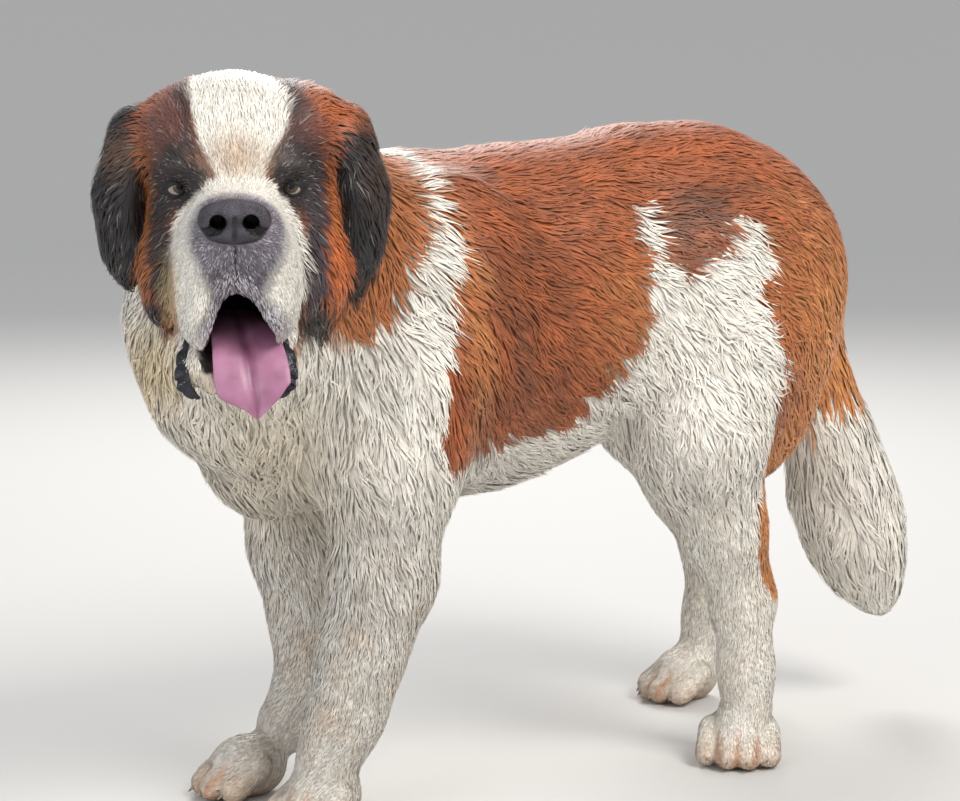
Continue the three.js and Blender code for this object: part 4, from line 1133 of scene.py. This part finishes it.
ALONG = ((0, 1, 0), (0, 0, 1), (1, 0, 0))
UPRIGHT = ((1, 0, 0), (0, 1, 0), (0, 0, 1))
x, y, z = roots.T
near_head = np.minimum(
    np.minimum(distance(skull_forms, *root_head.T), distance(jaw_forms, *root_head.T)),
    np.minimum(distance(left_ear, *root_head.T), distance(right_ear, *root_head.T)),
)
is_head = (near_head < distance(body_forms, x, y, z) + 6) & (x < -330)
is_tail = ~is_head & (np.abs(y) < 80) & (z < 550) & (x > 430 + (z - 440) * 0.12)
fore = ~is_head & (z < 330) & (x < -120)
hind = ~is_head & ~is_tail & (z < 400) & (x > 30)
trunk = ~(is_head | is_tail | fore | hind)
muzzle_middle = HEAD_PLACE + AHEAD * 30 - UP * 60
skull_middle = HEAD_PLACE - AHEAD * 70 - UP * 20
regions = {
    "coat_face": (is_head & (root_head[:, 0] > 10), HEAD_AXES, muzzle_middle, "coat_white"),
    "coat_head": (is_head & (root_head[:, 0] <= 10), HEAD_AXES, skull_middle, "coat_dark"),
    "coat_tail": (is_tail, UPRIGHT, np.array([520, 0, 0]), "coat_white"),
    "coat_leg_fore_left": (fore & (y < 0), UPRIGHT, np.array([-300, -95, 0]), "coat_white"),
    "coat_leg_fore_right": (fore & (y >= 0), UPRIGHT, np.array([-280, 95, 0]), "coat_white"),
    "coat_leg_hind_left": (hind & (y < 0), UPRIGHT, np.array([215, -150, 0]), "coat_white"),
    "coat_leg_hind_right": (hind & (y >= 0), UPRIGHT, np.array([390, 145, 0]), "coat_white"),
    "coat_neck": (trunk & (x < -250), ALONG, np.array([0, 0, 600]), "coat_white"),
    "coat_ribs": (trunk & (x >= -250) & (x < -20), ALONG, np.array([0, 0, 580]), "coat_red"),
    "coat_loin": (trunk & (x >= -20) & (x < 200), ALONG, np.array([0, 0, 600]), "coat_red"),
    "coat_rump": (trunk & (x >= 200), ALONG, np.array([0, 0, 620]), "coat_red"),
}
for name, (chosen, axis, centre, slot) in regions.items():
    for kind in ("long", "short"):
        some = np.nonzero(chosen & (long_lock == (kind == "long")))[0]
        parts = math.ceil(len(some) * LOCK_TRIANGLES[kind] / PIECE_TRIANGLES)
        for part in range(parts):
            suffix = f"_{part + 1}" if parts > 1 else ""
            add_locks(f"{name}_{kind}{suffix}", some[part::parts], kind, axis, centre)


# Bare surface: what the hairless parts share. Two colours in soft clouds, a third, dark one painted into the
# hollows as painted shade, and the height of small pebbles for a bump. It is built once, as a node group.
bare_look = bpy.data.node_groups.new("bare surface", "ShaderNodeTree")
for label, kind in (
    ("Place", "Vector"), ("Cloud Scale", "Float"), ("Pebble Scale", "Float"), ("Hollow Shade", "Float"),
    ("Dark", "Color"), ("Light", "Color"), ("Shade Colour", "Color"),
):
    bare_look.interface.new_socket(label, in_out="INPUT", socket_type=f"NodeSocket{kind}")
bare_look.interface.new_socket("Colour", in_out="OUTPUT", socket_type="NodeSocketColor")
bare_look.interface.new_socket("Height", in_out="OUTPUT", socket_type="NodeSocketFloat")
group_in = add_node(bare_look, "NodeGroupInput")
group_out = add_node(bare_look, "NodeGroupOutput")
cloud = add_node(bare_look, "ShaderNodeTexNoise")
pebbles = add_node(bare_look, "ShaderNodeTexVoronoi")
spread = add_node(bare_look, "ShaderNodeMapRange", {"From Min": 0.35, "From Max": 0.7})
clouded, hollow_shaded = [add_node(bare_look, "ShaderNodeMix", data_type="RGBA") for _ in range(2)]
FIRST_COLOUR, SECOND_COLOUR, MIXED = 6, 7, 2  # a colour mix has several sockets of the same name
join(
    bare_look, (group_in, "Place", cloud, "Vector"), (group_in, "Place", pebbles, "Vector"),
    (group_in, "Cloud Scale", cloud, "Scale"), (group_in, "Pebble Scale", pebbles, "Scale"),
    (cloud, "Fac", spread, "Value"), (spread, "Result", clouded, "Factor"),
    (group_in, "Dark", clouded, FIRST_COLOUR), (group_in, "Light", clouded, SECOND_COLOUR),
    (group_in, "Hollow Shade", hollow_shaded, "Factor"), (clouded, MIXED, hollow_shaded, FIRST_COLOUR),
    (group_in, "Shade Colour", hollow_shaded, SECOND_COLOUR), (hollow_shaded, MIXED, group_out, "Colour"),
    (pebbles, "Distance", group_out, "Height"),
)


def bare_finish(name, clouds, pebbles, dark, light, deep, roughness, strength):
    """A material that uses the bare surface, with painted shade from the piece's own hollow_shade attribute.
    """
    made, tree, shader = plain_finish(name, {"Roughness": roughness})
    look = add_node(tree, "ShaderNodeGroup", {
        "Cloud Scale": clouds, "Pebble Scale": pebbles, "Dark": (*paint(*dark), 1),
        "Light": (*paint(*light), 1), "Shade Colour": (*paint(*deep), 1),
    }, node_tree=bare_look)
    place = add_node(tree, "ShaderNodeTexCoord")
    hollow_shade = add_node(tree, "ShaderNodeAttribute", attribute_name="hollow_shade")
    bump = add_node(tree, "ShaderNodeBump", {"Strength": strength, "Distance": 0.001}, invert=True)
    join(
        tree, (place, "Object", look, "Place"), (hollow_shade, "Fac", look, "Hollow Shade"),
        (look, "Height", bump, "Height"), (look, "Colour", shader, "Base Color"),
        (bump, "Normal", shader, "Normal"),
    )
    return made


# Nose leather: a bare pad wrapped over the end of the muzzle, with a comma of a nostril on each side and a
# groove down its middle. It is moist and pebbled like fine leather.
def fine_form(name, forms, cuts, low, high, step, blend):
    """A piece in the head's axes, from forms melted together, less the cuts."""
    gx, gy, gz = [np.arange(l, h + step, step, dtype=np.float32) for l, h in zip(low, high)]
    mesh_x, mesh_y, mesh_z = np.meshgrid(gx, gy, gz, indexing="ij")
    values = distance(forms, mesh_x, mesh_y, mesh_z)
    values = carve(values, distance(cuts, mesh_x, mesh_y, mesh_z), blend)
    points, faces = net(values, gx, gy, gz)
    # Painted shade in the cuts: within 1.6 of them the surface takes the dark hollow colour.
    hollow_shade = np.clip((1.6 - distance(cuts, *points.T)) / 1.6, 0, 1)
    return add_mesh(name, from_head(points), faces, None, None, [("hollow_shade", "FLOAT", hollow_shade)])


nose_cuts = nostril_forms + [bar((118.5, 0, -13), 1.6, (113, 0, -50), 3.0, 2)]
nose = fine_form("nose_leather", nose_forms, nose_cuts, (76, -44, -50), (124, 44, 10), 1.0, 3.0)
nose_finish = bare_finish("nose leather", 60, 620, (38, 34, 40), (74, 67, 79), (6, 5, 6), 0.36, 0.9)
nose.data.materials.append(nose_finish)
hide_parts("nose")


# Tongue: a broad thin muscle that lies over the lower lip and hangs, grooved down its middle, with its
# edges curled up a little and its tip hanging to the dog's left.
def capped(rows, around):
    """Triangles of a grid closed around, with a fan at each end to the two points that follow the grid."""
    quads = grid_quads(rows, around)
    ring = np.arange(around)
    after = (ring + 1) % around
    end = rows * around
    first = np.stack([ring * 0 + end, ring, after], 1)
    last = np.stack([ring * 0 + end + 1, end - around + after, end - around + ring], 1)
    return np.concatenate([quads[:, [0, 1, 2]], quads[:, [0, 2, 3]], first, last])


def swept(name, path, widths, depths, groove, rise, around=56, along=56):
    """A closed tube along a path in the head's axes: an ellipse of the given half width and half depth,
    pressed in along its middle by groove and raised at its edges by rise."""
    stops = np.linspace(0, 1, len(path))
    s = np.linspace(0, 1, along)
    centre = np.stack([np.interp(s, stops, np.array(path)[:, i]) for i in range(3)], 1)
    for _ in range(6):
        centre[1:-1] = (centre[:-2] + 2 * centre[1:-1] + centre[2:]) / 4
    wide_at = np.interp(s, stops, widths)
    deep_at = np.interp(s, stops, depths)
    tangent = unit(np.gradient(centre, axis=0))
    side = np.tile((0.0, 1.0, 0.0), (along, 1))
    side = unit(side - tangent * (side * tangent).sum(1, keepdims=True))
    top = np.cross(tangent, side)
    t = np.linspace(0, 2 * math.pi, around, endpoint=False)
    flat, high = np.cos(t), np.sin(t)
    bulge = high[None, :] * deep_at[:, None] + rise * flat[None, :] ** 2
    pressed = np.exp(-(flat[None, :] / 0.15) ** 2) * np.sin(np.pi * s)[:, None] ** 0.5 * (high[None, :] > 0)
    bulge -= groove * pressed
    grid = centre[:, None] + side[:, None] * (wide_at[:, None] * flat[None, :])[..., None]
    grid = grid + top[:, None] * bulge[..., None]
    points = np.concatenate([grid.reshape(-1, 3), centre[:1], centre[-1:]])
    faces = capped(along, around)[:, [0, 2, 1]]
    # Painted shadow along the pressed groove, given to the material at seven tenths as hollow_shade.
    shadow = np.concatenate([pressed.ravel(), [0.0, 0.0]])
    return add_mesh(name, from_head(points), faces, None, None, [("hollow_shade", "FLOAT", shadow * 0.7)])


tongue = swept(
    "tongue_muscle",
    [(-34, 0, -146), (10, 2, -148), (44, 7, -154), (70, 13, -166), (87, 16, -184), (94, 18, -198),
     (97, 20, -208), (98, 21, -217), (99, 21, -227)],
    [20, 28, 34, 38, 40, 39, 27, 13, 2], [9, 8.5, 7.5, 6.5, 6, 6, 5, 4, 2], 4.8, 4.5,
)
tongue_finish = bare_finish("wet tongue", 28, 700, (150, 98, 126), (186, 132, 160), (122, 66, 96), 0.38, 0.15)
tongue_shader = tongue_finish.node_tree.nodes["Principled BSDF"]
tongue_shader.inputs["Subsurface Weight"].default_value = 0.15
tongue_shader.inputs["Subsurface Scale"].default_value = 0.004
tongue.data.materials.append(tongue_finish)
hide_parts("tongue")


# Lower lips: a loose black fold on each side of the tongue, turned outwards and frilled along its edge.
def frill(s, ruffles=5, rows=9, along=72):
    """A ribbon from the corner of the mouth to the chin, whose free edge waves in and out on its way."""
    stops = np.linspace(0, 1, 5)
    path = [(30, 44, -152), (52, 46, -166), (64, 45, -182), (68, 42, -198), (62, 34, -214)]
    path = np.array(path) * (1, s, 1) + (0, 4 * s, 0)
    t = np.linspace(0, 1, along)
    base = np.stack([np.interp(t, stops, path[:, i]) for i in range(3)], 1)
    for _ in range(5):
        base[1:-1] = (base[:-2] + 2 * base[1:-1] + base[2:]) / 4
    free = np.sin(np.pi * np.clip(t, 0.03, 0.97)) ** 0.5
    wave = np.sin(t * ruffles * 2 * math.pi + np.sin(t * 9)) * (0.7 + 0.3 * np.sin(t * 23))
    r = np.linspace(0, 1, rows)
    out_by = (3 + 15 * r[None, :]) * free[:, None]
    sheet = base[:, None] + np.zeros((along, rows, 3))
    sheet[..., 0] += out_by * 0.2 + 3.0 * (wave[:, None] * r[None, :] ** 1.3) * free[:, None]
    sheet[..., 1] += s * (out_by * 0.85 + 1.2 * wave[:, None] * r[None, :] ** 1.5)
    sheet[..., 2] += -out_by * 0.45 + 1.6 * np.cos(t * ruffles * 2 * math.pi)[:, None] * r[None, :] ** 2
    back = sheet.copy()
    back[..., 0] -= 2.2
    back[..., 1] -= s * 1.2
    loop = np.concatenate([sheet, back[:, ::-1]], 1)
    around = 2 * rows
    quads = grid_quads(along, around)[:, [1, 2, 3, 0] if s > 0 else [0, 3, 2, 1]]
    ends = []
    for row in (0, along - 1):
        for q in range(rows - 1):
            far_side = row * around + around - 1 - q
            quad = [row * around + q, row * around + q + 1, far_side - 1, far_side]
            ends.append(quad if (row == 0) == (s > 0) else quad[::-1])
    return loop.reshape(-1, 3), np.concatenate([quads, np.array(ends)])


lip_finish = bare_finish("wet lip", 120, 500, (14, 14, 20), (38, 38, 52), (6, 5, 6), 0.28, 0.5)
for s, side_name in ((1, "left"), (-1, "right")):
    lip_points, lip_faces = frill(s)
    lip = add_mesh(f"lip_{side_name}", from_head(lip_points), lip_faces)
    lip.data.materials.append(lip_finish)


# Eyes: a glossy ball with a brown iris in each socket, under a clear bulged front, and round it a black
# rim of lids that leaves an almond open, with the lower lid a little loose.
EYE_RADIUS = 14.0
EYE_AHEAD = -9.0
GAZE = {1: np.array([1.0, 0.02, 0.15]), -1: np.array([1.0, 0.17, 0.15])}


def eye_axes(ahead):
    """The way an eye or a lid faces, its side and its top, each one long."""
    ahead = np.array(ahead) / np.linalg.norm(ahead)
    side = np.cross(ahead, (0, 0, 1))
    side /= np.linalg.norm(side)
    return ahead, side, np.cross(side, ahead)


def turned_sphere(centre, ahead, radius_at, around=48, rings=40):
    """A closed ball of rings at equal angles from its axis. Its radius is a function of that angle."""
    ahead, side, top = eye_axes(ahead)
    angle = np.linspace(0, math.pi, rings + 1)[1:-1]
    t = np.linspace(0, 2 * math.pi, around, endpoint=False)
    r = radius_at(angle)
    grid = (
        centre
        + ahead * (r * np.cos(angle))[:, None, None]
        + (side * np.cos(t)[:, None] + top * np.sin(t)[:, None])[None] * (r * np.sin(angle))[:, None, None]
    )
    poles = [centre + ahead * radius_at(0.0), centre - ahead * radius_at(math.pi)]
    points = np.concatenate([grid.reshape(-1, 3), poles])
    return points, capped(len(angle), around), np.concatenate([np.repeat(angle, around), [0.0, math.pi]])


def cornea(angle):
    """The radius of an eye at an angle from its gaze: r (1 + 0.055 exp(-(angle / 0.42)^2))."""
    return EYE_RADIUS * (1 + 0.055 * np.exp(-(angle / 0.42) ** 2))


eye_finish, tree, eye_shader = plain_finish("eye", {
    "Roughness": 0.3, "Specular IOR Level": 0.25, "Coat Weight": 0.4, "Coat Roughness": 0.02,
})
gaze_angle = add_node(tree, "ShaderNodeAttribute", attribute_name="gaze")
iris = add_node(tree, "ShaderNodeValToRGB")
bands = iris.color_ramp.elements
iris.color_ramp.interpolation = "EASE"
# The iris ramp from the pupil out: a black pupil, the brown iris, a dark ring at its edge, then the white of
# the eye, painted dim and grey as painted shade under the lids.
for position, colour in (
    (0.062, (6, 5, 5)), (0.08, (38, 27, 17)), (0.105, (78, 66, 44)), (0.135, (60, 50, 34)),
    (0.155, (20, 16, 14)), (0.175, (146, 136, 126)), (0.3, (160, 142, 132)),
):
    bands.new(position).color = (*paint(*colour), 1)
bands.remove(bands[0])
bands.remove(bands[-1])
join(tree, (gaze_angle, "Fac", iris, "Fac"), (iris, "Color", eye_shader, "Base Color"))
lid_finish, tree, lid_shader = plain_finish("eyelid", {"Roughness": 0.6})
lid_tint = add_node(tree, "ShaderNodeAttribute", attribute_name="coat")
join(tree, (lid_tint, "Color", lid_shader, "Base Color"))


def lids(s, around=72):
    """A closed ring of lid, from an almond rim out over the ball to its side and back underneath. The rim's
    angle is (|cos / 37|^1.6 + |sin / tall|^1.6)^(-1 / 1.6) degrees, with a taller lower half."""
    centre = np.array((EYE_AHEAD, s * EYE_ASIDE, 0.0))
    ahead, side, top = eye_axes((0.98, s * 0.18, 0.02))
    t = np.linspace(0, 2 * math.pi, around, endpoint=False)
    droop = t - s * math.radians(14)
    tall = np.where(np.sin(droop) > 0, 14.0, 29.0)
    rim = (np.abs(np.cos(droop) / 37.0) ** 1.6 + np.abs(np.sin(droop) / tall) ** 1.6) ** (-1 / 1.6)
    profile = [(0.0, 14.15), (0.0, 14.7), (0.04, 15.1), (0.12, 15.3), (0.35, 15.2), (0.65, 15.0), (1.0, 14.8),
               (1.0, 13.6), (0.5, 13.8), (0.1, 13.95)]
    rows = []
    for share, radius in profile:
        angle = np.radians(rim + (92.0 - rim) * share)
        ring = np.cos(t)[:, None] * side + np.sin(t)[:, None] * top
        rows.append(centre + radius * (np.cos(angle)[:, None] * ahead + np.sin(angle)[:, None] * ring))
    m = len(rows)
    points = np.stack(rows, 1).reshape(-1, 3)
    quads = grid_quads(around + 1, m) % (around * m)
    shade_row = np.array([0.6, 0.5, 0.5, 0.7, 1.0, 1.0, 1.0, 1.0, 0.6, 0.6])
    colour = np.tile((BLACK * 0.45)[None] * shade_row[:, None], (around, 1))
    haw = np.clip(-np.sin(t) - 0.25, 0, 1)[:, None, None] * np.isin(np.arange(m), (0, 9))[None, :, None]
    colour = colour.reshape(around, m, 3) * (1 - haw) + paint(120, 60, 62) * haw
    return points, quads, colour.reshape(-1, 3)


for s, side_name in ((1, "left"), (-1, "right")):
    eye_centre = np.array((EYE_AHEAD, s * EYE_ASIDE, 0.0))
    eye_points, eye_faces, eye_angle = turned_sphere(eye_centre, GAZE[s], cornea)
    eye = add_mesh(f"eyeball_{side_name}", from_head(eye_points), eye_faces, None, None,
                   [("gaze", "FLOAT", eye_angle / math.pi)])
    eye.data.materials.append(eye_finish)
    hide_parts(f"eye_{side_name}")
    lid_points, lid_faces, lid_colour = lids(s)
    lid = add_mesh(f"eyelid_{side_name}", from_head(lid_points), lid_faces, None, lid_colour)
    lid.data.materials.append(lid_finish)


# Claws: short blunt horn, pale at the root. The solids' own claws are kept and given the look of horn.
claw_finish = bare_finish(
    "horn of the claws", 300, 900, (92, 78, 64), (176, 160, 138), (60, 50, 40), 0.42, 0.1,
)
for node_name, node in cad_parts.items():
    if node_name.startswith("claw_"):
        node.material_slots[0].material = claw_finish
